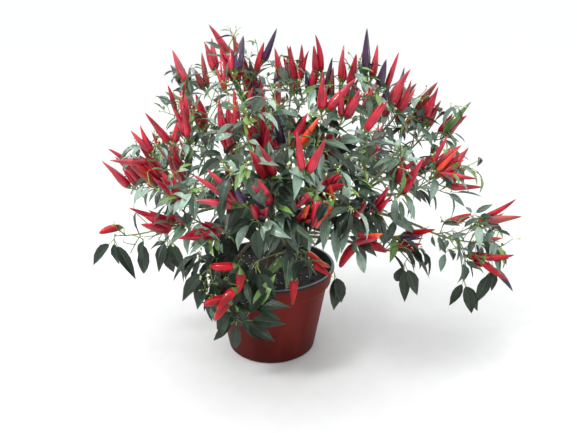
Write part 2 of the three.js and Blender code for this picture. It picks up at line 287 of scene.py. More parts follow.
@dataclass(frozen=True)
class PlasticFinish:
    """Moulded pot plastic: streaks of painted reflection down the wall, scuffs, and painted shade on its
    foot.
    """

    name: str
    body: Colour
    worn_and_sheen: Colour
    roughness: float
    gloss: float = 0.4
    # A darker colour over the foot, fading upwards: painted shade.
    dark_tone: Colour = paint(0, 0, 0)
    foot_shade_share: float = 0.0
    foot_shade_height: float = 0.13
    foot_shade_waver: float = 0.03
    # Lengthwise streaks towards the paler colour: painted reflection. They also vary the roughness.
    flow: Noise = Noise(26.0, 3.0, stretch=(1.0, 1.0, 0.12))
    streak_sheen: float = 0.7
    streak_roughness: float = 0.1
    scuffs: Noise = Noise(160.0, 5.0, 0.65)
    scuff_wear: float = 0.22
    scuff_roughness: float = 0.12
    grain: Noise = Noise(2600.0, 1.0)
    grain_depth: float = 0.00006

    def material(self) -> Material:
        """Make the material.

        Returns:
            The material.
        """
        graph = Graph.named(self.name)
        flow = graph.noise(self.flow)
        scuffs = graph.band(graph.noise(self.scuffs), low=0.56, high=0.74)
        # Painted reflection in streaks and real scuffs both lighten the body.
        worn_and_sheen = graph.band(flow, low=0.34, high=0.68) * self.streak_sheen + scuffs * self.scuff_wear
        tint = graph.mix(worn_and_sheen, self.body, self.worn_and_sheen)
        # Painted shade darkens the wall towards its foot.
        if self.foot_shade_share > 0:
            foot = 1 - graph.band(graph.height() + flow * self.foot_shade_waver, low=0.0, high=self.foot_shade_height)
            tint = graph.mix(foot * self.foot_shade_share, tint, self.dark_tone)
        roughness = self.roughness + flow * self.streak_roughness + scuffs * self.scuff_roughness
        normal = graph.bump(graph.noise(self.grain), self.grain_depth, strength=0.5)
        return graph.coat(tint, roughness, normal, self.gloss)


@dataclass(frozen=True)
class SoilFinish:
    """Damp peat mix, dark with paler fibres."""

    name: str = "potting_mix"
    dark_tone: Colour = paint(11, 8, 9)
    dry: Colour = paint(34, 26, 28)
    crumbs: Noise = Noise(420.0, 6.0, 0.7)
    crumb_share: float = 0.7
    crumb_depth: float = 0.0012
    fibres: Noise = Noise(1400.0, 3.0, 0.6, (1.0, 0.35, 1.0))
    fibre_share: float = 0.35
    roughness: float = 0.82
    crumb_roughness: float = 0.15

    def material(self) -> Material:
        """Make the material.

        Returns:
            The material.
        """
        graph = Graph.named(self.name)
        crumbs = graph.noise(self.crumbs)
        fibres = graph.band(graph.noise(self.fibres), low=0.6, high=0.75)
        share = graph.band(crumbs, low=0.48, high=0.78) * self.crumb_share + fibres * self.fibre_share
        mix = graph.mix(share, self.dark_tone, self.dry)
        roughness = self.roughness + crumbs * self.crumb_roughness
        return graph.coat(mix, roughness, graph.bump(crumbs, self.crumb_depth, strength=0.8))


@dataclass(frozen=True)
class BarkFinish:
    """Stem skin: corky and grey-brown low down, greener towards the tips, with fine lengthwise cracks."""

    name: str = "stem_bark"
    cork: Colour = paint(98, 84, 64)
    crack: Colour = paint(46, 38, 30)
    green: Colour = paint(96, 104, 62)
    green_from: float = 0.2
    green_to: float = 0.34
    green_waver: float = 0.06
    cracks: Noise = Noise(420.0, 4.0, 0.6, (1.0, 1.0, 0.22))
    crack_share: float = 0.7
    crack_depth: float = 0.0005
    blotches: Noise = Noise(70.0, 3.0)
    roughness: float = 0.68
    blotch_roughness: float = 0.2

    def material(self) -> Material:
        """Make the material.

        Returns:
            The material.
        """
        graph = Graph.named(self.name)
        cracks = graph.band(graph.noise(self.cracks), low=0.5, high=0.66)
        blotches = graph.noise(self.blotches)
        young = graph.band(graph.height() + blotches * self.green_waver, self.green_from, self.green_to)
        skin = graph.mix(cracks * self.crack_share, graph.mix(young, self.cork, self.green), self.crack)
        roughness = self.roughness + blotches * self.blotch_roughness
        return graph.coat(skin, roughness, graph.bump(1 - cracks, self.crack_depth, strength=0.7))


@dataclass(frozen=True)
class SkinFinish:
    """Chilli skin: waxed and glossy, a little uneven in colour and in its lengthwise swell."""

    name: str
    first: Colour
    second: Colour
    roughness: float = 0.32
    blotches: Noise = Noise(38.0)
    band: Pair = (0.36, 0.66)
    swell: Noise = Noise(150.0, 1.0)
    swell_roughness: float = 0.1
    swell_depth: float = 0.0012
    swell_strength: float = 0.35
    gloss: float = 0.35
    wax: float = 0.5
    wax_roughness: float = 0.07

    def material(self) -> Material:
        """Make the material.

        Returns:
            The material.
        """
        graph = Graph.named(self.name)
        share = graph.band(graph.noise(self.blotches), *self.band)
        swell = graph.noise(self.swell)
        skin = graph.mix(share, self.first, self.second)
        roughness = self.roughness + swell * self.swell_roughness
        normal = graph.bump(swell, self.swell_depth, self.swell_strength)
        return graph.coat(skin, roughness, normal, self.gloss, self.wax, self.wax_roughness)


@dataclass(frozen=True)
class ShootFinish(SkinFinish):
    """Green stems, stalks and calyxes: fine lengthwise lines and a soft shine."""

    roughness: float = 0.48
    blotches: Noise = Noise(55.0)
    band: Pair = (0.35, 0.65)
    swell: Noise = Noise(900.0, stretch=(1.0, 1.0, 0.2))
    swell_roughness: float = 0.12
    swell_depth: float = 0.0002
    swell_strength: float = 0.4
    gloss: float = 0.5
    wax: float = 0.0


@dataclass(frozen=True)
class GritFinish(SkinFinish):
    """Small loose grains, such as perlite or bark chips, with pores."""

    roughness: float = 0.8
    blotches: Noise = Noise(600.0, 4.0, 0.6)
    band: Pair = (0.42, 0.66)
    swell: Noise = Noise(600.0, 4.0, 0.6)
    swell_roughness: float = 0.15
    swell_depth: float = 0.0004
    swell_strength: float = 0.6
    gloss: float = 0.5
    wax: float = 0.0


@dataclass(frozen=True)
class LeafFinish:
    """One face of a leaf: a waxy skin that swells a little between its side veins.

    The piece's UV map runs across the blade from 0 to 1 and along it from root to tip.
    """

    name: str
    blade: Colour
    shade: Colour
    vein: Colour
    roughness: float = 0.4
    blotches: Noise = Noise(24.0, 2.0, 0.6)
    blotch_roughness: float = 0.16
    vein_count: float = 7.0
    vein_slant: float = 1.1
    vein_share: float = 0.45
    vein_dip: float = 0.5
    rib_share: float = 0.6
    crinkle: Noise = Noise(95.0)
    crinkle_depth: float = 0.0034
    gloss: float = 0.75
    wax: float = 0.2
    wax_roughness: float = 0.22

    def material(self) -> Material:
        """Make the material.

        Returns:
            The material.
        """
        graph = Graph.named(self.name)
        blotches = graph.noise(self.blotches)
        veins, rib = self.lines(graph)
        skin = graph.mix(graph.band(blotches, low=0.34, high=0.66), self.shade, self.blade)
        relief = graph.noise(self.crinkle) - veins * self.vein_dip
        lined = graph.mix(veins * self.vein_share + rib * self.rib_share, skin, self.vein)
        roughness = self.roughness + blotches * self.blotch_roughness
        normal = graph.bump(relief, self.crinkle_depth, strength=0.9)
        return graph.coat(lined, roughness, normal, self.gloss, self.wax, self.wax_roughness)

    def lines(self, graph: Graph) -> tuple[Value, Value]:
        """Draw the side veins and the midrib on the blade.

        Args:
            graph: The material's graph.

        Returns:
            The veins and the midrib, each 1 on its lines and 0 beside them.
        """
        uv = graph.value("ShaderNodeUVMap", {"uv_map": LEAF_MAP}, {})
        split = graph.node("ShaderNodeSeparateXYZ", {}, {0: uv})
        across, along = (Value(graph, split.outputs[axis]) for axis in (0, 1))
        aside = graph.maths("ABSOLUTE", across - 0.5, 0.0)
        turns = (along - aside * self.vein_slant) * (TURN * self.vein_count)
        rows = graph.band(graph.maths("SINE", turns, 0.0), low=0.72, high=1.0)
        veins = rows * graph.band(aside, low=0.02, high=0.1)
        return veins, 1 - graph.band(aside, low=0.015, high=0.05)


class Finish(Enum):
    """Every finish of the plant and its pot."""

    # Streaks on the pot are painted reflection. Its darker foot is painted shade.
    POT = PlasticFinish(
        "pot_clay_plastic", paint(86, 22, 19), paint(110, 38, 33), 0.45, 0.06, paint(50, 15, 14), 0.7
    )
    LINER = PlasticFinish("pot_black_liner", paint(13, 13, 15), paint(30, 31, 34), 0.45, 0.25)
    # The lip's top: a paler grey that is a painted highlight.
    RIM_HIGHLIGHT = PlasticFinish("pot_rim_painted_highlight", paint(66, 68, 76), paint(108, 110, 118), 0.32, 0.5)
    SOIL = SoilFinish()
    PERLITE = GritFinish("perlite", paint(214, 206, 204), paint(136, 126, 124))
    CHIPS = GritFinish("bark_chips", paint(62, 44, 34), paint(26, 18, 15))
    BARK = BarkFinish()
    SHOOT = ShootFinish("green_shoots", paint(112, 128, 58), paint(74, 88, 48))
    STALK = ShootFinish("leaf_stalks", paint(138, 152, 92), paint(104, 124, 74), 0.42)
    BUD = ShootFinish("flower_buds", paint(206, 212, 162), paint(150, 170, 98), 0.42)
    CALYX = ShootFinish("calyxes", paint(98, 128, 54), paint(64, 92, 42), 0.38)
    # Paler, bluer leaves: a painted sheen of the sky.
    LIT_FACE = LeafFinish(
        "leaf_lit_face", paint(146, 170, 156), paint(98, 128, 112), paint(188, 202, 178), 0.28
    )
    LIT_BACK = LeafFinish(
        "leaf_lit_back", paint(150, 168, 142), paint(120, 144, 118), paint(176, 190, 156), 0.5
    )
    OPEN_FACE = LeafFinish(
        "leaf_open_face", paint(74, 104, 84), paint(36, 62, 48), paint(132, 154, 122), 0.28
    )
    OPEN_BACK = LeafFinish(
        "leaf_open_back", paint(122, 142, 112), paint(96, 120, 90), paint(150, 168, 128), 0.5
    )
    # Darker leaves: painted shade.
    SHADED_FACE = LeafFinish(
        "leaf_shaded_face", paint(37, 54, 38), paint(21, 32, 22), paint(62, 84, 60), 0.4, gloss=0.4, wax=0.08
    )
    SHADED_BACK = LeafFinish("leaf_shaded_back", paint(54, 78, 50), paint(34, 56, 34), paint(84, 106, 70), 0.6)
    # Young leaves: their yellow-green is partly their own and partly painted backlight.
    YOUNG_BACKLIT_FACE = LeafFinish(
        "leaf_young_backlit_face", paint(118, 156, 64), paint(78, 122, 46), paint(168, 190, 112), 0.34
    )
    YOUNG_BACKLIT_BACK = LeafFinish(
        "leaf_young_backlit_back", paint(146, 168, 92), paint(112, 142, 72), paint(178, 192, 130), 0.55
    )
    RED = SkinFinish("chilli_red", paint(180, 20, 46), paint(134, 9, 34))
    # A darker red for chillies low in the crown: painted shade.
    SHADED_RED = SkinFinish("chilli_shaded_red", paint(172, 8, 26), paint(126, 5, 20), gloss=0.15, wax=0.3)
    PURPLE = SkinFinish("chilli_purple", paint(58, 34, 66), paint(36, 22, 44), 0.24)
    ORANGE = SkinFinish("chilli_orange", paint(232, 84, 30), paint(206, 44, 26))
    GREEN = SkinFinish("chilli_green", paint(78, 112, 46), paint(50, 84, 36), 0.24)
    RUSSET = SkinFinish("chilli_russet", paint(148, 46, 34), paint(104, 34, 40))
    FLOOR = PlasticFinish("floor", paint(194, 194, 194), paint(197, 197, 197), 0.9)


# ---- The workbench ----


class Bench:
    """Blender's modelling tools, used on one piece at a time."""

    def material(self, finish: Finish) -> Material:
        """Give a finish's material, made when it is first asked for."""
        return bpy.data.materials.get(finish.value.name) or finish.value.material()

    def clear(self) -> None:
        """Let go of everything that is held."""
        bpy.ops.object.select_all(action="DESELECT")

    def hold(self, piece: Piece, *others: Piece) -> None:
        """Hold some pieces.

        Args:
            piece: The one to work on.
            others: Others that are held with it.
        """
        self.clear()
        for held in (piece, *others):
            held.select_set(True)
        bpy.context.view_layer.objects.active = piece

    def started(self, name: str) -> Piece:
        """Name the primitive that was just added.

        Args:
            name: Its name, and its mesh's.

        Returns:
            The piece.
        """
        piece = bpy.context.object
        piece.name = name
        piece.data.name = name
        return piece

    def modify(self, piece: Piece, kind: str, settings: dict) -> None:
        """Add a modifier to a piece and apply it.

        Args:
            piece: The piece.
            kind: The modifier's type.
            settings: The modifier's settings.
        """
        self.hold(piece)
        bpy.ops.object.modifier_add(type=kind)
        modifier = piece.modifiers[-1]
        for name, setting in settings.items():
            setattr(modifier, name, setting)
        bpy.ops.object.modifier_apply(modifier=modifier.name)

    def raise_lumps(self, piece: Piece, name: str, size: float, detail: int, settings: dict) -> None:
        """Push a piece's skin in and out by soft noise.

        Args:
            piece: The piece.
            name: The noise's name.
            size: The size of its lumps.
            detail: How many finer sizes it has on them.
            settings: The displacement's settings.
        """
        noise = bpy.data.textures.new(name, "CLOUDS")
        noise.noise_scale = size
        noise.noise_depth = detail
        self.modify(piece, "DISPLACE", {"texture": noise, **settings})

    def smooth(self, piece: Piece, degrees: float) -> None:
        """Shade a piece smooth, with edges sharper than that left crisp."""
        self.hold(piece)
        bpy.ops.object.shade_smooth_by_angle(angle=radians(degrees))

    def dress(self, piece: Piece, slot: str, *finishes: Finish) -> None:
        """Give a piece its materials.

        Args:
            piece: The piece.
            slot: The record's material slot that they belong to; not used.
            finishes: Its finishes, in order.
        """
        piece.data.materials.clear()
        for finish in finishes:
            piece.data.materials.append(self.material(finish))

    def hand_over(self, piece: Piece, *nodes: str) -> None:
        """Seat a finished piece on the plant's body.

        Args:
            piece: The piece.
            nodes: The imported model's nodes that it stands for, if any.
        """
        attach(piece, BODY)
        if nodes:
            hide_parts(*nodes)
        log.info("%s: %d faces", piece.name, len(piece.data.polygons))


class Turning:
    """A round shape, drawn up from a ring one step after another in edit mode."""

    near: float = 1e-5
    weld: float = 1e-6

    def __init__(self, bench: Bench, name: str, radius: float, height: float, sides: int) -> None:
        """Start with a ring.

        Args:
            bench: The tools.
            name: The piece's name.
            radius: The ring's radius.
            height: Its height.
            sides: The number of its points.
        """
        bench.clear()
        bpy.ops.mesh.primitive_circle_add(vertices=sides, radius=radius, fill_type="NOTHING")
        self.piece = bench.started(name)
        self.radius = radius
        self.foot = self.height = height
        bpy.ops.object.mode_set(mode="EDIT")
        bpy.ops.mesh.select_mode(type="VERT")
        bpy.ops.mesh.select_all(action="SELECT")
        bpy.ops.transform.translate(value=(0.0, 0.0, height))

    def to(self, radius: float, height: float) -> None:
        """Draw the ring on.

        Args:
            radius: The radius that it gets.
            height: The height that it is drawn up or down to.
        """
        bpy.ops.mesh.extrude_region_move(TRANSFORM_OT_translate={"value": (0.0, 0.0, height - self.height)})
        grow = radius / self.radius
        bpy.ops.transform.resize(value=(grow, grow, 1.0), center_override=(0.0, 0.0, height))
        self.radius, self.height = radius, height

    def close(self) -> None:
        """Draw the ring in to one point on the axis, and fill the first ring with one flat face."""
        self.to(self.radius / 2, self.height)
        bpy.ops.mesh.extrude_region_move()
        bpy.ops.mesh.merge(type="CENTER")
        bpy.ops.mesh.select_all(action="DESELECT")
        bpy.ops.object.mode_set(mode="OBJECT")
        for vertex in self.piece.data.vertices:
            vertex.select = vertex.co.z < self.foot + self.near
        bpy.ops.object.mode_set(mode="EDIT")
        bpy.ops.mesh.edge_face_add()

    def finish(self) -> Piece:
        """Clean the mesh, turn its faces out and leave edit mode.

        Returns:
            The piece.
        """
        bpy.ops.mesh.select_all(action="SELECT")
        bpy.ops.mesh.remove_doubles(threshold=self.weld)
        bpy.ops.mesh.normals_make_consistent(inside=False)
        bpy.ops.object.mode_set(mode="OBJECT")
        return self.piece


# ---- Joined shapes from arrays ----


@dataclass(frozen=True)
class Pattern:
    """How the points of one small shape are joined: the same for every copy."""

    faces: tuple[tuple[int, ...], ...]
    places: tuple[Pair, ...]
    slots: tuple[int, ...]


class Batch:
    """Many small shapes of one kind, joined into one mesh from arrays."""

    def __init__(self) -> None:
        """Start with no shape."""
        self.points: list[np.ndarray] = []
        self.faces: list[tuple[int, ...]] = []
        self.places: list[Pair] = []
        self.slots: list[int] = []
        self.count = 0
        self.copies = 0

    def add(self, points: np.ndarray, pattern: Pattern) -> None:
        """Add one shape.

        Args:
            points: Its points, one row each.
            pattern: How they are joined.
        """
        self.points.append(points)
        start = self.count
        self.faces.extend(tuple(start + corner for corner in face) for face in pattern.faces)
        self.places.extend(pattern.places)
        self.slots.extend(pattern.slots)
        self.count += len(points)
        self.copies += 1

    def build(self, name: str, crisp: float) -> Piece:
        """Make the mesh.

        Args:
            name: The piece's name.
            crisp: Edges sharper than this many degrees stay crisp.

        Returns:
            The piece.
        """
        mesh = bpy.data.meshes.new(name)
        mesh.from_pydata(np.concatenate(self.points).tolist(), [], self.faces)
        mesh.polygons.foreach_set("material_index", self.slots)
        mesh.polygons.foreach_set("use_smooth", [True] * len(self.slots))
        corners = np.empty(len(mesh.loops), dtype=np.int32)
        mesh.loops.foreach_get("vertex_index", corners)
        layer = mesh.uv_layers.new(name=LEAF_MAP)
        layer.data.foreach_set("uv", np.array(self.places, dtype=np.float32)[corners].ravel())
        mesh.set_sharp_from_angle(angle=radians(crisp))
        piece = bpy.data.objects.new(name, mesh)
        bpy.context.scene.collection.objects.link(piece)
        return piece


def tube_pattern(sides: int, rings: int) -> Pattern:
    """Join rings of points as a closed tube, with its two ends filled.

    Args:
        sides: Points in a ring.
        rings: The number of rings.

    Returns:
        The pattern.
    """
    faces = [tuple(reversed(range(sides))), tuple((rings - 1) * sides + k for k in range(sides))]
    for ring in range(rings - 1):
        for k in range(sides):
            low, high = ring * sides + k, ring * sides + (k + 1) % sides
            faces.append((low, high, high + sides, low + sides))
    places = tuple((k / sides, ring / (rings - 1)) for ring in range(rings) for k in range(sides))
    return Pattern(tuple(faces), places, (0,) * len(faces))


def pod_pattern(sides: int, rings: int) -> Pattern:
    """Join a first point, rings of points and a last point as a closed pod.

    Args:
        sides: Points in a ring.
        rings: The number of rings.

    Returns:
        The pattern.
    """
    last = 1 + rings * sides
    faces = []
    for k in range(sides):
        following = (k + 1) % sides
        faces.append((0, 1 + following, 1 + k))
        faces.append((last, last - sides + k, last - sides + following))
    for ring in range(rings - 1):
        for k in range(sides):
            low, high = 1 + ring * sides + k, 1 + ring * sides + (k + 1) % sides
            faces.append((low, high, high + sides, low + sides))
    around = tuple((k / sides, (ring + 1) / (rings + 1)) for ring in range(rings) for k in range(sides))
    return Pattern(tuple(faces), ((0.5, 0.0), *around, (0.5, 1.0)), (0,) * len(faces))


def ring_axes(along: Vector) -> tuple[Vector, Vector]:
    """Give two directions square to a third and to each other."""
    aside = along.orthogonal().normalized()
    return aside, along.cross(aside)


def tube_points(path: Sequence[Vector], radii: Sequence[float], sides: int) -> np.ndarray:
    """Set rings of points round a path, without twist.

    Args:
        path: The centre line.
        radii: The radius at each of its points.
        sides: Points in a ring.

    Returns:
        The points, ring by ring.
    """
    rows = []
    along = (path[1] - path[0]).normalized()
    aside, across = ring_axes(along)
    for i, spot in enumerate(path):
        ahead = path[min(i + 1, len(path) - 1)] - path[max(i - 1, 0)]
        turn = along.rotation_difference(ahead)
        aside, across, along = turn @ aside, turn @ across, ahead.normalized()
        for k in range(sides):
            angle = TURN * k / sides
            rows.append(spot + (aside * cos(angle) + across * sin(angle)) * radii[i])
    return np.array(rows)


# ---- The growth rule ----


def any_way(dice: Dice, spread: float = 1.0) -> Vector:
    """Give a chance step, with that spread along each axis."""
    return Vector([dice.gauss(0, spread) for _ in range(3)])


def aside_of(along: Vector, turn: float) -> Vector:
    """Give the way aside from another, at a bearing about it in radians."""
    return Quaternion(along, turn) @ ring_axes(along)[0]


def lean_of(side: Vector, along: Vector, shares: Triple) -> Vector:
    """Add up shares of a way aside, of a limb's own way and of the way up."""
    return side * shares[0] + along * shares[1] + UP * shares[2]


def in_reach(spot: Vector, margin: float = 0.01) -> bool:
    """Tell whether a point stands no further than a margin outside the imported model's box."""
    low, high = CAD_BOX
    return all(low[axis] - margin < spot[axis] < high[axis] + margin for axis in range(3))


@dataclass(frozen=True)
class Habit:
    """How a spray grows in one kind of light.

    shaded, fresh and lit are shares of its leaves: shaded ones are darker as painted shade, lit ones paler
    and bluer as a painted sheen of the sky, and fresh ones young, their yellow-green partly painted
    backlight. droop and size say how much more than usual they hang and how large they grow. leaf_reach and
    pod_reach say how far tips may stand from the spray's middle, as a share of its spread, and most_pods is
    the most chillies in a bunch. purple and orange are shares of its chillies.
    """

    shaded: float
    fresh: float
    lit: float
    droop: float
    size: float
    leaf_reach: float
    pod_reach: float
    most_pods: int
    purple: float = 0.06
    orange: float = 0.025


class Shade(Enum):
    """How a spray stands to the light."""

    # The first three numbers share out leaves of painted shade, young leaves and leaves of painted sky
    # sheen.
    TOP = Habit(0.03, 0.3, 0.52, 0.7, 0.86, 0.9, 1.2, 4, 0.2, 0.0)
    OPEN = Habit(0.12, 0.2, 0.47, 0.95, 0.9, 1.0, 1.06, 5)
    INNER = Habit(0.52, 0.1, 0.26, 1.05, 1.02, 1.04, 1.1, 4)
    LOW = Habit(0.9, 0.04, 0.0, 1.6, 1.25, 0.78, 1.0, 3)


@dataclass(frozen=True)
class Bough:
    """One bough and its spray.

    parent is the limb it leaves, at is how far along that limb, and azimuth (degrees), reach and height
    (over the underside) place the middle of its spray, whose growth stays within spread of that middle.
    It bears that many bunches of chillies, and leafing is the share of its leaf places that are taken.
    """

    name: str
    parent: str
    at: float
    azimuth: float
    reach: float
    height: float
    spread: float
    bunches: int
    leafing: float
    shade: Shade

    @property
    def middle(self) -> Vector:
        """The middle of the spray."""
        angle = radians(self.azimuth)
        return Vector((self.reach * cos(angle), self.reach * sin(angle), self.height))


BOUGHS = (
    Bough("leader", "trunk", 1.0, 40, 0.055, 0.475, 0.1, 8, 0.6, Shade.TOP),
    Bough("right", "trunk", 0.62, 0, 0.29, 0.335, 0.1, 5, 0.6, Shade.OPEN),
    Bough("left", "trunk", 0.72, 185, 0.195, 0.345, 0.1, 8, 0.52, Shade.OPEN),
    Bough("front", "trunk", 0.5, 270, 0.215, 0.365, 0.105, 5, 0.95, Shade.INNER),
    Bough("back", "trunk", 0.56, 90, 0.22, 0.33, 0.115, 4, 1.0, Shade.OPEN),
    Bough("right_front", "trunk", 0.36, 300, 0.215, 0.32, 0.1, 5, 0.76, Shade.INNER),
    Bough("left_front", "trunk", 0.3, 230, 0.195, 0.325, 0.095, 5, 0.76, Shade.OPEN),
    Bough("right_upper", "trunk", 0.84, 20, 0.235, 0.425, 0.105, 6, 0.56, Shade.TOP),
    Bough("top_left", "leader", 0.55, 140, 0.08, 0.51, 0.105, 7, 0.55, Shade.TOP),
    Bough("top_right", "right_upper", 0.5, 355, 0.135, 0.48, 0.1, 8, 0.72, Shade.TOP),
    Bough("left_back_upper", "leader", 0.3, 140, 0.19, 0.45, 0.1, 5, 0.7, Shade.TOP),
    Bough("back_upper", "leader", 0.42, 85, 0.15, 0.43, 0.1, 6, 0.8, Shade.TOP),
    Bough("left_upper", "left", 0.45, 205, 0.12, 0.415, 0.095, 7, 0.55, Shade.OPEN),
    Bough("left_low", "left", 0.62, 195, 0.235, 0.255, 0.08, 0, 0.12, Shade.LOW),
    Bough("front_upper", "front", 0.4, 265, 0.125, 0.43, 0.095, 5, 0.78, Shade.OPEN),
    Bough("front_low", "front", 0.3, 290, 0.155, 0.245, 0.065, 0, 0.3, Shade.LOW),
    Bough("left_front_low", "left_front", 0.34, 240, 0.17, 0.205, 0.09, 0, 0.95, Shade.LOW),
    Bough("right_middle", "right", 0.36, 335, 0.21, 0.365, 0.095, 3, 0.55, Shade.OPEN),
    Bough("right_high", "right", 0.66, 10, 0.285, 0.405, 0.095, 4, 0.56, Shade.OPEN),
    Bough("right_low", "right", 0.55, 0, 0.365, 0.215, 0.1, 5, 0.56, Shade.OPEN),
    Bough("right_front_low", "right_front", 0.5, 335, 0.245, 0.24, 0.08, 2, 0.4, Shade.LOW),
    Bough("inner_right", "right_upper", 0.3, 305, 0.13, 0.4, 0.085, 4, 0.8, Shade.INNER),
    Bough("back_left", "back", 0.42, 135, 0.245, 0.3, 0.115, 4, 0.95, Shade.OPEN),
    Bough("back_right", "back", 0.5, 45, 0.255, 0.3, 0.115, 4, 0.95, Shade.OPEN),
)


@dataclass(frozen=True)
class Limb:
    """A tapering limb along a quadratic curve."""

    foot: Vector
    bend: Vector
    tip: Vector
    foot_radius: float
    tip_radius: float

    def point(self, share: float) -> Vector:
        """Give the centre line's point at a share of the curve."""
        rest = 1 - share
        return self.foot * rest * rest + self.bend * (2 * rest * share) + self.tip * share * share

    def tangent(self, share: float) -> Vector:
        """Give the centre line's direction at a share of the curve."""
        return ((self.bend - self.foot) * (1 - share) + (self.tip - self.bend) * share).normalized()

    def radius(self, share: float) -> float:
        """Give the radius at a share of the curve."""
        return self.foot_radius + (self.tip_radius - self.foot_radius) * share

    @property
    def length(self) -> float:
        """The straight length from foot to tip."""
        return (self.tip - self.foot).length

    def path(self, steps: int) -> list[Vector]:
        """Give evenly shared points of the centre line, both ends among them."""
        return [self.point(i / steps) for i in range(steps + 1)]

    def radii(self, steps: int) -> list[float]:
        """Give the radius at each point of the path."""
        return [self.radius(i / steps) for i in range(steps + 1)]


@dataclass
class NumberStream:
    """The seeded stream of numbers from 0 to 1 that sets one twig's place."""

    spray: int
    twig: int
    seed: int = 7
    multiplier: int = 1664525
    increment: int = 1013904223
    per_seed: int = 7919
    per_spray: int = 131
    per_twig: int = 17
    skipped: int = 4
    modulus: int = 2**32
    state: int = field(init=False)

    def __post_init__(self) -> None:
        """Set the first state and leave the first few numbers out."""
        place = self.spray * self.per_spray + self.twig * self.per_twig
        self.state = self.seed * self.per_seed + place + 1
        for _ in range(self.skipped):
            self.next()

    def next(self) -> float:
        """Give the stream's next number."""
        self.state = (self.state * self.multiplier + self.increment) % self.modulus
        return self.state / self.modulus

    def between(self, low: float, high: float) -> float:
        """Give the next number, spread from low to high."""
        return low + (high - low) * self.next()


@dataclass(frozen=True)
class Skeleton:
    """The trunk, the boughs and each spray's stem and twigs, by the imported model's own growth rule."""

    gap: float = 0.0003
    trunk_height: float = 0.088
    trunk_lean: Pair = (0.014, -0.005)
    trunk_bend: float = 0.55
    trunk_foot: float = 0.0082
    trunk_tip: float = 0.0062
    main_foot: float = 0.0043
    main_tip: float = 0.0024
    main_arch: float = 0.16
    side_foot: float = 0.0027
    side_tip: float = 0.002
    side_arch: float = 0.1
    stem_start: float = 0.66
    stem_end: float = 0.5
    stem_lift: float = 0.12
    stem_bend: float = 0.45
    stem_foot_radius: float = 0.0019
    stem_tip_radius: float = 0.001
    twig_spacing: float = 0.021
    first_twig: float = 0.08
    last_twig: float = 0.9
    twig_foot_share: float = 0.66
    twig_tip_share: float = 0.42
    twig_length: Pair = (0.88, 1.12)
    twig_turn: Pair = (-0.45, 0.45)
    twig_foot_radius: float = 0.0012
    twig_tip_radius: float = 0.0008
    splay: float = radians(58)
    twig_lift: float = 0.2

    def limbs(self) -> dict[str, Limb]:
        """Grow the trunk and the boughs, each after the limb that it leaves.

        Returns:
            The limbs by name.
        """
        foot = Vector((0.0, 0.0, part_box("trunk")[0].z))
        tip = foot + Vector((*self.trunk_lean, self.trunk_height))
        bend = foot + UP * (self.trunk_bend * self.trunk_height)
        limbs = {"trunk": Limb(foot, bend, tip, self.trunk_foot, self.trunk_tip)}
        for row in BOUGHS:
            limbs[row.name] = self.bough(row, limbs[row.parent])
        return limbs

    def bough(self, row: Bough, parent: Limb) -> Limb:
        """Grow one bough: it leaves its parent's centre line, arches up and ends where its spray begins.

        Args:
            row: The bough.
            parent: The limb that it leaves.

        Returns:
            The bough's limb.
        """
        main = row.parent == "trunk"
        start = parent.point(row.at)
        if row.at == 1:
            start += parent.tangent(1) * self.gap
        outward = (row.middle - start).normalized()
        tip = row.middle - outward * (self.stem_start * row.spread)
        length = (tip - start).length
        bend = start.lerp(tip, 0.5) + UP * ((self.main_arch if main else self.side_arch) * length)
        if row.at == 1:
            bend = start + parent.tangent(1) * (length / 2)
        radii = (self.main_foot, self.main_tip) if main else (self.side_foot, self.side_tip)
        return Limb(start, bend, tip, *radii)

    def stem(self, row: Bough, bough: Limb) -> Limb:
        """Grow a spray's stem: on from the bough's tip, through the middle, with a lift at its end.

        Args:
            row: The bough.
            bough: Its limb.

        Returns:
            The stem.
        """
        along = bough.tangent(1)
        foot = bough.point(1) + along * self.gap
        outward = (row.middle - foot).normalized()
        tip = row.middle + outward * (self.stem_end * row.spread) + UP * (self.stem_lift * row.spread)
        bend = foot + along * (self.stem_bend * (tip - foot).length)
        return Limb(foot, bend, tip, self.stem_foot_radius, self.stem_tip_radius)

    def twigs(self, row: Bough, index: int, stem: Limb) -> Iterator[Limb]:
        """Grow the twigs of a spray, one after another up its stem.

        Args:
            row: The bough.
            index: Its place among the boughs.
            stem: The spray's stem.

        Yields:
            Each twig.
        """
        count = round(row.spread / self.twig_spacing)
        for i in range(count):
            stream = NumberStream(index, i)
            share = self.first_twig + (self.last_twig - self.first_twig) * i / (count - 1)
            along = stem.tangent(share)
            level = Vector((-along.y, along.x, 0.0)).normalized()
            side = Quaternion(along, i * GOLDEN_ANGLE + stream.between(*self.twig_turn)) @ level
            away = along * cos(self.splay) + side * sin(self.splay)
            length_share = self.twig_foot_share + (self.twig_tip_share - self.twig_foot_share) * share
            length = length_share * row.spread * stream.between(*self.twig_length)
            foot = stem.point(share)
            tip = foot + away * length + UP * (self.twig_lift * length)
            yield Limb(foot, foot.lerp(tip, 0.5), tip, self.twig_foot_radius, self.twig_tip_radius)


# ---- Pot and soil ----


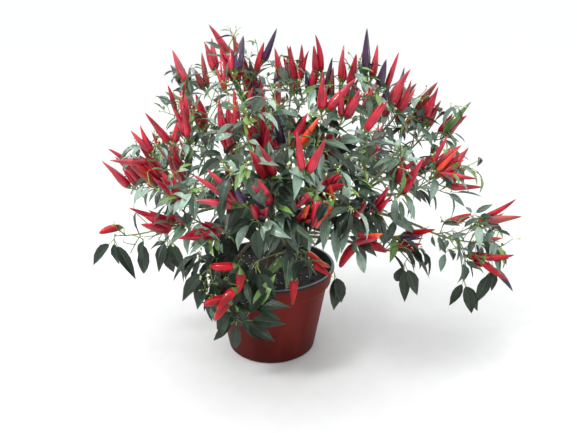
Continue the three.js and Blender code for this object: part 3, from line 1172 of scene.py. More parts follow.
@dataclass
class Pot:
    """The pot: red-brown outside, with a black inner skin that wraps over the rim."""

    bench: Bench
    foot_radius: float = 0.083
    foot_chamfer: float = 0.004
    shoulder: Pair = (0.1065, 0.13)
    collar: Pair = (0.114, 0.14)
    rim_radius: float = 0.1175
    lip_radius: float = 0.1205
    lip_height: float = 0.006
    lip_slant: float = 0.00088
    skins: tuple[Finish, ...] = (Finish.POT, Finish.LINER, Finish.RIM_HIGHLIGHT)
    skin_share: float = 0.72
    skin_depth: float = 0.6
    level_from: float = 0.8
    wall: float = 0.0024
    floor: float = 0.003
    sides: int = 96
    edge_round: float = 0.0011
    round_steps: int = 3
    round_from: float = radians(28)
    crisp: float = 40.0
    drains: int = 6
    drain_radius: float = 0.006
    drain_ring: float = 0.05
    drain_sides: int = 24
    top: float = field(init=False)

    def __post_init__(self) -> None:
        """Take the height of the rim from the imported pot."""
        self.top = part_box("pot")[1].z

    def wall_radius(self, height: float) -> float:
        """Give the wall's outer radius at a height."""
        knots = ((self.foot_radius, 0.0), self.shoulder, self.collar, (self.rim_radius, self.top))
        return float(np.interp(height, [knot[1] for knot in knots], [knot[0] for knot in knots]))

    def build(self) -> None:
        """Turn the pot, drill it, round its edges and paint it."""
        shell = self.turn()
        self.drill(shell)
        bevel = {
            "width": self.edge_round,
            "segments": self.round_steps,
            "limit_method": "ANGLE",
            "angle_limit": self.round_from,
        }
        self.bench.modify(shell, "BEVEL", bevel)
        self.bench.smooth(shell, self.crisp)
        self.bench.dress(shell, "pot", *self.skins)
        self.paint_liner(shell)
        self.bench.hand_over(shell, "pot")

    def turn(self) -> Piece:
        """Draw the pot's profile up the outside, over the lip and down the inside.

        Returns:
            The pot, without its drains.
        """
        top = self.top
        turning = Turning(self.bench, "pot_shell", self.foot_radius - self.foot_chamfer, 0.0, self.sides)
        turning.to(self.wall_radius(self.foot_chamfer), self.foot_chamfer)
        turning.to(*self.shoulder)
        turning.to(*self.collar)
        lip_foot = top - self.lip_height
        turning.to(self.wall_radius(lip_foot), lip_foot)
        turning.to(self.lip_radius, lip_foot + self.lip_slant)
        turning.to(self.lip_radius, top - self.edge_round)
        turning.to(self.lip_radius - self.edge_round, top)
        turning.to(self.rim_radius - self.wall, top)
        turning.to(self.collar[0] - self.wall, self.collar[1])
        turning.to(self.shoulder[0] - self.wall, self.shoulder[1])
        turning.to(self.wall_radius(self.floor) - self.wall, self.floor)
        turning.close()
        return turning.finish()

    def drill(self, shell: Piece) -> None:
        """Drill the drain holes through the floor.

        Args:
            shell: The pot.
        """
        for i in range(self.drains):
            angle = TURN * (i + 0.5) / self.drains
            self.bench.clear()
            bpy.ops.mesh.primitive_cylinder_add(
                vertices=self.drain_sides,
                radius=self.drain_radius,
                depth=4 * self.floor,
                location=(self.drain_ring * cos(angle), self.drain_ring * sin(angle), 0.0),
            )
            bit = self.bench.started("drill_bit")
            cut = {"operation": "DIFFERENCE", "solver": "EXACT", "object": bit}
            self.bench.modify(shell, "BOOLEAN", cut)
            bpy.data.objects.remove(bit)

    def paint_liner(self, shell: Piece) -> None:
        """Give the inside and the lip the black skin, and the lip's top a paler grey, a painted highlight.

        Args:
            shell: The pot.
        """
        skin_from = self.top - self.lip_height * self.skin_share
        for face in shell.data.polygons:
            reach, height = hypot(face.center.x, face.center.y), face.center.z
            inside = reach < self.wall_radius(max(height, 0.0)) - self.skin_depth * self.wall
            skin = Finish.POT
            if height > skin_from or (inside and height > self.floor / 2):
                skin = Finish.LINER
            # The lip's flat top takes a paler grey: a painted highlight.
            if height > self.top - self.edge_round / 2 and face.normal.z > self.level_from:
                skin = Finish.RIM_HIGHLIGHT
            face.material_index = self.skins.index(skin)


@dataclass
class Soil:
    """Potting mix with a lumpy top, perlite and bark chips. Lumps and crumbs have a width and a height."""

    bench: Bench
    pot: Pot
    sides: int = 96
    clear: float = 0.00045
    rings: int = 26
    sink: float = 0.0012
    edge_drop: float = 0.004
    edge_width: float = 0.002
    still_edge: float = 0.001
    lumps: Pair = (0.011, 0.0042)
    crumbs: Pair = (0.0035, 0.0016)
    lump_detail: int = 2
    lump_level: float = 0.62
    crisp: float = 60.0
    grains: int = 170
    grain_size: Pair = (0.0006, 0.0016)
    chips: int = 260
    chip_size: Pair = (0.0012, 0.0034)
    strewn_share: float = 0.97
    grain_sides: int = 5
    grain_rings: int = 2
    grain_level: float = 0.42
    grain_girth: Pair = (0.62, 1.05)
    grain_crisp: float = 35.0
    seed: int = 41
    foot: float = field(init=False)
    top: float = field(init=False)

    def __post_init__(self) -> None:
        """Take the depth of the mix from the packed soil."""
        low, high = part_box("soil")
        self.foot, self.top = low.z, high.z

    def build(self) -> None:
        """Fill the pot and strew the grains."""
        plug = self.turn()
        self.roughen(plug, "soil_lumps", *self.lumps)
        self.roughen(plug, "soil_crumbs", *self.crumbs)
        self.bench.smooth(plug, self.crisp)
        self.bench.dress(plug, "soil", Finish.SOIL)
        self.bench.hand_over(plug, "soil")
        dice = random.Random(self.seed)
        self.strew("perlite_grains", self.grains, self.grain_size, Finish.PERLITE, dice)
        self.strew("bark_chips", self.chips, self.chip_size, Finish.CHIPS, dice)

    def inner(self, height: float) -> float:
        """Give the plug's radius at a height."""
        return self.pot.wall_radius(height) - self.pot.wall - self.clear

    def turn(self) -> Piece:
        """Turn the plug: up the pot's inside, then in over the top ring by ring.

        Returns:
            The plug, with a level top.
        """
        turning = Turning(self.bench, "soil_plug", self.inner(self.foot), self.foot, self.sides)
        edge = self.top - self.edge_drop
        for height in (self.pot.shoulder[1], self.pot.collar[1], edge):
            turning.to(self.inner(height), height)
        rim = self.inner(edge) - self.edge_width
        for i in range(self.rings):
            turning.to(rim * (1 - i / self.rings), self.top - self.sink)
        turning.close()
        return turning.finish()

    def roughen(self, plug: Piece, name: str, size: float, height: float) -> None:
        """Raise lumps of one size on the top, and leave its edge as it is.

        Args:
            plug: The plug.
            name: The lumps' name.
            size: How wide they are.
            height: How high they are.
        """
        group = plug.vertex_groups.get("top") or plug.vertex_groups.new(name="top")
        level = self.top - self.sink - self.still_edge
        low, rim = level - self.edge_drop, self.inner(level) - self.still_edge
        inner = [v.index for v in plug.data.vertices if v.co.z > low and v.co.xy.length < rim]
        group.add(inner, 1.0, "REPLACE")
        settings = {
            "direction": "Z",
            "vertex_group": group.name,
            "strength": height,
            "mid_level": self.lump_level,
        }
        self.bench.raise_lumps(plug, name, size, self.lump_detail, settings)

    def strew(self, name: str, count: int, size: Pair, finish: Finish, dice: Dice) -> None:
        """Scatter small grains over the top.

        Args:
            name: The piece's name.
            count: How many grains.
            size: Their smallest and largest radius.
            finish: Their finish.
            dice: What they vary by.
        """
        pattern = pod_pattern(self.grain_sides, self.grain_rings)
        batch = Batch()
        for _ in range(count):
            reach = self.inner(self.top) * sqrt(dice.random()) * self.strewn_share
            angle = dice.uniform(0, TURN)
            radius = dice.uniform(*size)
            turn = Quaternion(any_way(dice), dice.uniform(0, pi))
            middle = Vector((reach * cos(angle), reach * sin(angle), self.top - self.sink))
            rows = [Vector((0, 0, -radius))]
            for ring in range(self.grain_rings):
                level = self.grain_level * (2 * ring - 1)
                for k in range(self.grain_sides):
                    bearing = TURN * (k + ring / 2) / self.grain_sides
                    wide = radius * dice.uniform(*self.grain_girth)
                    rows.append(Vector((wide * cos(bearing), wide * sin(bearing), level * radius)))
            rows.append(Vector((0, 0, radius)))
            batch.add(np.array([middle + turn @ row for row in rows]), pattern)
        piece = batch.build(name, self.grain_crisp)
        self.bench.dress(piece, "soil", finish)
        self.bench.hand_over(piece)


# ---- Trunk and boughs ----


@dataclass
class WoodyLimbs:
    """The trunk and boughs as one ribbed, corky skin."""

    bench: Bench
    skeleton: Skeleton
    flare_radius: float = 0.013
    flare_share: float = 0.16
    ribs: int = 7
    rib_depth: float = 0.1
    cuts: int = 9
    curve_steps: int = 3
    voxel: float = 0.00135
    melt: float = 0.5
    melt_rounds: int = 2
    cork_size: float = 0.0042
    cork_detail: int = 3
    cork_height: float = 0.0009
    crisp: float = 70.0

    def build(self) -> None:
        """Draw every limb, join them, melt them into one skin and raise its cork."""
        section = self.section()
        tubes = [self.tube(name, limb, section) for name, limb in self.skeleton.limbs().items()]
        self.bench.hold(*tubes)
        bpy.ops.object.join()
        skin = self.bench.started("bark_skin")
        bpy.data.objects.remove(section)
        skin.data.remesh_voxel_size = self.voxel
        bpy.ops.object.voxel_remesh()
        self.bench.modify(skin, "SMOOTH", {"factor": self.melt, "iterations": self.melt_rounds})
        cork = {"strength": self.cork_height, "mid_level": 0.5}
        self.bench.raise_lumps(skin, "bark_cork", self.cork_size, self.cork_detail, cork)
        self.bench.smooth(skin, self.crisp)
        self.bench.dress(skin, "bark", Finish.BARK)
        self.bench.hand_over(skin, "trunk", *(f"bough_{row.name}" for row in BOUGHS))

    def section(self) -> Piece:
        """Draw the ribbed outline that the limbs are drawn along with.

        Returns:
            The outline, a closed curve of radius 1.
        """
        self.bench.clear()
        bpy.ops.curve.primitive_nurbs_circle_add(radius=1.0, enter_editmode=True)
        bpy.ops.curve.subdivide(number_cuts=1)
        bpy.ops.object.mode_set(mode="OBJECT")
        outline = self.bench.started("limb_outline")
        points = outline.data.splines[0].points
        for i, point in enumerate(points):
            wide = 1.0 + self.rib_depth * cos(self.ribs * TURN * i / len(points))
            point.co = (point.co.x * wide, point.co.y * wide, 0.0, point.co.w)
        return outline

    def tube(self, name: str, limb: Limb, section: Piece) -> Piece:
        """Draw one limb as a tube of the ribbed outline.

        Args:
            name: The limb's name.
            limb: Its curve and radii.
            section: The outline.

        Returns:
            The limb as a mesh.
        """
        self.bench.clear()
        bpy.ops.curve.primitive_bezier_curve_add(enter_editmode=True)
        curve = self.bench.started(f"limb_{name}")
        spline = curve.data.splines[0]
        first, last = spline.bezier_points
        for point, spot, reach in ((first, limb.foot, limb.bend), (last, limb.tip, limb.bend)):
            point.handle_left_type = point.handle_right_type = "FREE"
            point.co = spot
            inner = spot.lerp(reach, 2 / 3)
            point.handle_left, point.handle_right = spot * 2 - inner, inner
        last.handle_left, last.handle_right = last.handle_right.copy(), last.handle_left.copy()
        bpy.ops.curve.select_all(action="SELECT")
        bpy.ops.curve.subdivide(number_cuts=self.cuts)
        bpy.ops.object.mode_set(mode="OBJECT")
        points = curve.data.splines[0].bezier_points
        for i, point in enumerate(points):
            share = i / (len(points) - 1)
            flare = max(0.0, 1 - share / self.flare_share) ** 2 if name == "trunk" else 0.0
            point.radius = limb.radius(share) + flare * (self.flare_radius - limb.foot_radius)
        curve.data.bevel_mode = "OBJECT"
        curve.data.bevel_object = section
        curve.data.use_fill_caps = True
        curve.data.resolution_u = self.curve_steps
        self.bench.hold(curve)
        bpy.ops.object.convert(target="MESH")
        return bpy.context.object


# ---- Sprays ----


@dataclass(frozen=True)
class Pose:
    """Where a leaf or fruit stands: its root, its own direction and the way its upper side faces."""

    root: Vector
    along: Vector
    face: Vector

    def place(self, points: np.ndarray) -> np.ndarray:
        """Set points into place.

        Args:
            points: The points, across, along and up from the root.

        Returns:
            The same points where the leaf or fruit stands.
        """
        along = self.along.normalized()
        across = along.cross(self.face).normalized()
        up = across.cross(along)
        basis = np.array([across, along, up])
        return points @ basis + np.array(self.root)


@dataclass(frozen=True)
class Curl:
    """How one leaf bends, in radians: down to its tip, up from its midrib, about it, and along its edge."""

    arch: float
    fold: float
    twist: float
    ripple: float


@dataclass(frozen=True)
class LeafShape:
    """A lance-shaped leaf of 48 faces: folded at its midrib, arched, a little wavy and thin."""

    stations: tuple[float, ...] = (0.07, 0.22, 0.42, 0.64, 0.85)
    columns: tuple[float, ...] = (-1.0, -0.5, 0.0, 0.5, 1.0)
    thickness: float = 0.0004
    rise_power: float = 0.7
    blunt: float = 1.08
    fold_start: float = 1.15
    fold_ease: float = 0.4
    wave_height: float = 0.035
    wave_turn: float = 11.0
    wave_shift: float = 1.3

    def half_width(self, share: float) -> float:
        """Give the half-width at a share of the length, where the widest is 1."""
        return sin(pi * share**self.rise_power) ** self.blunt

    def pattern(self) -> Pattern:
        """Join the points: root, tip, the upper grid, then the under side's inner points.

        Returns:
            The pattern, with the upper side in the first material slot and the under side in the second.
        """
        rows, wide = len(self.stations), len(self.columns)
        upper = [[2 + i * wide + j for j in range(wide)] for i in range(rows)]
        under_start = 2 + rows * wide
        under = [
            [upper[i][0], *(under_start + i * (wide - 2) + j for j in range(wide - 2)), upper[i][-1]]
            for i in range(rows)
        ]
        faces, slots = [], []
        for grid, slot in ((upper, 0), (under, 1)):
            made = []
            for j in range(wide - 1):
                made.append((0, grid[0][j + 1], grid[0][j]))
                made.append((1, grid[-1][j], grid[-1][j + 1]))
                for i in range(rows - 1):
                    made.append((grid[i][j], grid[i][j + 1], grid[i + 1][j + 1], grid[i + 1][j]))
            faces += made if slot == 0 else [tuple(reversed(face)) for face in made]
            slots += [slot] * len(made)
        columns = [(column + 1) / 2 for column in self.columns]
        places = [(0.5, 0.0), (0.5, 1.0)]
        places += [(column, station) for station in self.stations for column in columns]
        places += [(column, station) for station in self.stations for column in columns[1:-1]]
        return Pattern(tuple(faces), tuple(places), tuple(slots))

    def spine(self, length: float, arch: float, share: float) -> tuple[np.ndarray, np.ndarray]:
        """Follow the midrib.

        Args:
            length: The blade's length.
            arch: How far it bends down from root to tip, in radians.
            share: How far along it is followed.

        Returns:
            The midrib's point there and its upward normal.
        """
        angle = arch * share
        spot = np.array([0.0, sin(angle), cos(angle) - 1]) * (length / arch)
        return spot, np.array([0.0, sin(angle), cos(angle)])

    def points(self, length: float, width: float, curl: Curl) -> np.ndarray:
        """Shape one leaf.

        Args:
            length: Along the blade.
            width: Across its widest place.
            curl: How it bends.

        Returns:
            The points, across, along and up from the root.
        """
        upper, under = [], []
        for station in self.stations:
            spot, normal = self.spine(length, curl.arch, station)
            turn = curl.twist * station
            across = np.array([cos(turn), 0.0, 0.0]) + normal * sin(turn)
            lift = normal * cos(turn) - np.array([sin(turn), 0.0, 0.0])
            half = self.half_width(station) * width / 2
            for column in self.columns:
                aside = abs(column)
                shift = self.wave_shift if column > 0 else 0.0
                wave = self.wave_height * width * sin(curl.ripple + self.wave_turn * station + shift)
                rise = curl.fold * aside * half * (self.fold_start - self.fold_ease * aside)
                point = spot + across * (column * half) + lift * (rise + wave * column * column)
                upper.append(point)
                if aside < 1:
                    under.append(point - normal * self.thickness)
        root, tip = np.zeros(3), self.spine(length, curl.arch, 1.0)[0]
        return np.array([root, tip, *upper, *under])


SLIM = ((0.012, 0.52), (0.05, 0.86), (0.16, 1.0), (0.36, 0.95), (0.58, 0.74), (0.79, 0.45), (0.93, 0.2))
BLUNT = ((0.02, 0.5), (0.07, 0.82), (0.2, 0.98), (0.45, 1.0), (0.7, 0.84), (0.88, 0.58), (0.97, 0.3))
BUD = ((0.3, 0.85), (0.68, 1.0))


@dataclass(frozen=True)
class PodShape:
    """A chilli or bud: shouldered at its stalk, tapering to a bent point.

    profile gives its girth, where the widest is 1, at some shares of its length.
    """

    profile: tuple[Pair, ...] = SLIM
    sides: int = 8
    unevenness: float = 0.07
    lobes: int = 2
    lobe_drift: float = 5.0
    bend_power: float = 2.2

    def pattern(self) -> Pattern:
        """Join the points."""
        return pod_pattern(self.sides, len(self.profile))

    def points(self, length: float, radius: float, bend: float, swell: float) -> np.ndarray:
        """Shape one pod.

        Args:
            length: From shoulder to point.
            radius: At its widest.
            bend: How far the point leaves the straight, as a share of the length.
            swell: Where its uneven sides start, in radians.

        Returns:
            The points, across, along and up from the root.
        """
        rows = [(0.0, 0.0, 0.0)]
        for share, wide in self.profile:
            for k in range(self.sides):
                angle = TURN * k / self.sides
                lobe = sin(self.lobes * angle + swell + self.lobe_drift * share)
                reach = radius * wide * (1 + self.unevenness * lobe)
                lift = bend * length * share**self.bend_power
                rows.append((-reach * cos(angle), share * length, reach * sin(angle) + lift))
        rows.append((0.0, length, bend * length))
        return np.array(rows)


@dataclass(frozen=True)
class CalyxShape:
    """The green cup on a pod's shoulder, with teeth at its rim.

    profile gives its rings: how far each stands past the pod's root, and its share of the pod's radius.
    """

    profile: tuple[Pair, ...] = ((-0.0042, 0.26), (-0.0014, 0.52), (0.0024, 0.9))
    foot: float = -0.0052
    inside: float = 0.0014
    tooth: float = 0.0011
    sides: int = 8

    def pattern(self) -> Pattern:
        """Join the points."""
        return pod_pattern(self.sides, len(self.profile))

    def points(self, radius: float) -> np.ndarray:
        """Shape one calyx.

        Args:
            radius: The pod's radius.

        Returns:
            The points, across, along and up from the pod's root.
        """
        rows = [(0.0, self.foot, 0.0)]
        for shift, wide in self.profile:
            for k in range(self.sides):
                angle = TURN * k / self.sides
                tooth = self.tooth if k % 2 and shift > 0 else 0.0
                reach = radius * wide
                rows.append((-reach * cos(angle), shift + tooth, reach * sin(angle)))
        rows.append((0.0, self.inside, 0.0))
        return np.array(rows)


class Tone(Enum):
    """The kinds of leaf, each with its upper and under finish."""

    # Paler, bluer leaves: a painted sheen of the sky.
    LIT = ("leaves_lit", Finish.LIT_FACE, Finish.LIT_BACK)
    OPEN = ("leaves_open", Finish.OPEN_FACE, Finish.OPEN_BACK)
    # Darker leaves: painted shade.
    DEEP = ("leaves_shaded", Finish.SHADED_FACE, Finish.SHADED_BACK)
    # Young leaves, yellow-green partly by painted backlight.
    YOUNG_BACKLIT = ("leaves_young_backlit", Finish.YOUNG_BACKLIT_FACE, Finish.YOUNG_BACKLIT_BACK)


class Ripeness(Enum):
    """The kinds of chilli, each with its finish."""

    RED = ("chillies_red", Finish.RED)
    # Red chillies low in the crown, darker as painted shade.
    RED_IN_SHADE = ("chillies_shaded_red", Finish.SHADED_RED)
    PURPLE = ("chillies_purple", Finish.PURPLE)
    GREEN = ("chillies_green", Finish.GREEN)
    ORANGE = ("chillies_orange", Finish.ORANGE)
    RUSSET = ("chillies_russet", Finish.RUSSET)


@dataclass
class Harvest:
    """The joined pieces that everything small grows into."""

    leaves: dict[Tone, Batch] = field(default_factory=lambda: {tone: Batch() for tone in Tone})
    pods: dict[Ripeness, Batch] = field(default_factory=lambda: {ripeness: Batch() for ripeness in Ripeness})
    shoots: Batch = field(default_factory=Batch)
    stalks: Batch = field(default_factory=Batch)
    calyxes: Batch = field(default_factory=Batch)
    buds: Batch = field(default_factory=Batch)


@dataclass
class Grower:
    """Makes single leaves, chillies, buds and shoots, and adds them to the harvest.

    petiole_turn and pedicel_turn give a stalk's two stretches, away from its shoot and on to what it bears.
    """

    harvest: Harvest
    pot: Pot
    rim_gap: float = 0.001
    wall_gap: float = 0.002
    blade: LeafShape = LeafShape()
    leaf_length: float = 0.052
    leaf_shape: Pair = (0.28, 0.38)
    deep_widening: float = 1.2
    arch: Pair = (0.25, 0.95)
    fold: Pair = (0.3, 0.75)
    twist: float = 0.4
    petiole: Pair = (0.008, 0.017)
    petiole_radius: float = 0.0007
    petiole_flare: float = 1.2
    petiole_turn: Pair = (0.6, 0.5)
    rib_start: float = 0.85
    rib_radius: float = 0.00028
    stalk_sides: int = 3
    pod: PodShape = PodShape()
    pod_length: float = 0.061
    pod_lengths: Pair = (0.8, 1.14)
    pod_radius: float = 0.0071
    pod_girths: Pair = (0.8, 1.18)
    pod_bend: Pair = (-0.04, 0.24)
    stub: PodShape = PodShape(BLUNT)
    stub_share: float = 0.68
    stub_girth: float = 1.12
    stub_bend: float = 0.22
    stub_stalk: float = 0.6
    calyx: CalyxShape = CalyxShape()
    pedicel: Pair = (0.013, 0.021)
    pedicel_radius: float = 0.0009
    pedicel_flare: float = 1.7
    pedicel_turn: Pair = (0.55, 0.5)
    pedicel_elbow: float = 0.6
    pedicel_steps: int = 4
    # Red chillies below this height get the darker red: painted shade.
    shaded_below: float = 0.27
    bud_shape: PodShape = PodShape(BUD, 5)
    bud_length: Pair = (0.003, 0.0065)
    bud_girth: float = 0.32
    bud_stalk: Pair = (0.004, 0.011)
    bud_stalk_radii: tuple[float, ...] = (0.0005, 0.0004, 0.0005)
    shoot_sides: int = 5

    def __post_init__(self) -> None:
        """Prepare the patterns that every copy shares."""
        self.leaf_pattern = self.blade.pattern()
        self.pod_pattern = self.pod.pattern()
        self.bud_pattern = self.bud_shape.pattern()
        self.calyx_pattern = self.calyx.pattern()
        self.rib_pattern = tube_pattern(self.stalk_sides, 3 + len(self.blade.stations))
        self.stalk_pattern = tube_pattern(self.stalk_sides, 3)

    def shoot(self, limb: Limb, steps: int) -> None:
        """Add a green shoot, drawn in that many steps."""
        points = tube_points(limb.path(steps), limb.radii(steps), self.shoot_sides)
        self.harvest.shoots.add(points, tube_pattern(self.shoot_sides, steps + 1))

    def clears_pot(self, points: np.ndarray) -> bool:
        """Tell whether points stay out of the pot's wall and the soil.

        Args:
            points: The points, in their places on the plant.

        Returns:
            Whether all of them do.
        """
        reach = np.hypot(points[:, 0], points[:, 1])
        under_rim = points[:, 2] < self.pot.top + self.rim_gap
        near_wall = reach < self.pot.lip_radius + self.wall_gap
        return not bool(np.any(under_rim & near_wall))

    def leaf(
        self,
        start: Vector,
        away: Vector,
        pose: Vector,
        face: Vector,
        tone: Tone,
        size: float,
        dice: Dice,
    ) -> None:
        """Add a leaf on its stalk, unless the pot is in its way.

        Args:
            start: Where the stalk leaves its shoot.
            away: The stalk's first direction.
            pose: The blade's direction.
            face: The way its upper side faces.
            tone: Its kind.
            size: Its size, where 1 is usual.
            dice: What it varies by.
        """
        length = self.leaf_length * size
        width = length * dice.uniform(*self.leaf_shape) / sqrt(max(1.0, size))
        if tone is Tone.DEEP:
            width *= self.deep_widening
        curl = Curl(
            arch=dice.uniform(*self.arch),
            fold=dice.uniform(*self.fold),
            twist=dice.gauss(0, self.twist),
            ripple=dice.uniform(0, TURN),
        )
        stalk = dice.uniform(*self.petiole) * size
        elbow = start + away.normalized() * (stalk * self.petiole_turn[0])
        root = elbow + pose.normalized() * (stalk * self.petiole_turn[1])
        stand = Pose(root, pose, face)
        points = stand.place(self.blade.points(length, width, curl))
        if not self.clears_pot(points):
            return
        self.harvest.leaves[tone].add(points, self.leaf_pattern)
        thick = self.petiole_radius * size
        path, radii = [start, elbow, root], [thick * self.petiole_flare, thick, thick]
        pattern = self.stalk_pattern
        if tone is not Tone.DEEP:
            spine = [self.blade.spine(length, curl.arch, share)[0] for share in self.blade.stations]
            path += [Vector(point) for point in stand.place(np.array(spine))]
            radii += list(np.linspace(thick * self.rib_start, self.rib_radius, len(spine)))
            pattern = self.rib_pattern
        self.harvest.stalks.add(tube_points(path, radii, self.stalk_sides), pattern)

    def bud(self, start: Vector, away: Vector, dice: Dice) -> None:
        """Add a flower bud on its own thin stalk, unless the pot is in its way.

        Args:
            start: Where the stalk leaves its shoot.
            away: The stalk's direction.
            dice: What it varies by.
        """
        length = dice.uniform(*self.bud_length)
        away = away.normalized()
        root = start + away * dice.uniform(*self.bud_stalk)
        stand = Pose(root, away, ring_axes(away)[0])
        points = stand.place(self.bud_shape.points(length, length * self.bud_girth, 0.0, 0.0))
        if not self.clears_pot(points):
            return
        self.harvest.buds.add(points, self.bud_pattern)
        path = [start, start.lerp(root, 0.5), root]
        stalk = tube_points(path, self.bud_stalk_radii, self.stalk_sides)
        self.harvest.stalks.add(stalk, self.stalk_pattern)

    def chilli(
        self,
        start: Vector,
        away: Vector,
        lean: Vector,
        ripeness: Ripeness,
        size: float,
        dice: Dice,
        stubby: bool = False,
    ) -> None:
        """Add a chilli with its stalk and calyx, unless the pot is in its way.

        Args:
            start: Where the stalk leaves its shoot.
            away: The stalk's first direction.
            lean: The pod's direction.
            ripeness: Its kind.
            size: Its size, where 1 is usual.
            dice: What it varies by.
            stubby: Whether it is short, blunt and well bent.
        """
        length = self.pod_length * size * (self.stub_share if stubby else dice.uniform(*self.pod_lengths))
        radius = self.pod_radius * size * (self.stub_girth if stubby else dice.uniform(*self.pod_girths))
        bend = self.stub_bend if stubby else dice.uniform(*self.pod_bend)
        shape = self.stub if stubby else self.pod
        stalk = dice.uniform(*self.pedicel) * size * (self.stub_stalk if stubby else 1.0)
        away, lean = away.normalized(), lean.normalized()
        root = start + away * (stalk * self.pedicel_turn[0]) + lean * (stalk * self.pedicel_turn[1])
        face = any_way(dice)
        stand = Pose(root, lean, face - lean * face.dot(lean))
        points = stand.place(shape.points(length, radius, bend, dice.uniform(0, TURN)))
        if not self.clears_pot(points):
            return
        # Low red chillies take the darker red: painted shade.
        if ripeness is Ripeness.RED and start.z < self.shaded_below:
            ripeness = Ripeness.RED_IN_SHADE
        self.harvest.pods[ripeness].add(points, self.pod_pattern)
        elbow, flare = start + away * (stalk * self.pedicel_elbow), self.pedicel_radius * self.pedicel_flare
        self.shoot(Limb(start, elbow, root, self.pedicel_radius, flare), self.pedicel_steps)
        self.harvest.calyxes.add(stand.place(self.calyx.points(radius)), self.calyx_pattern)


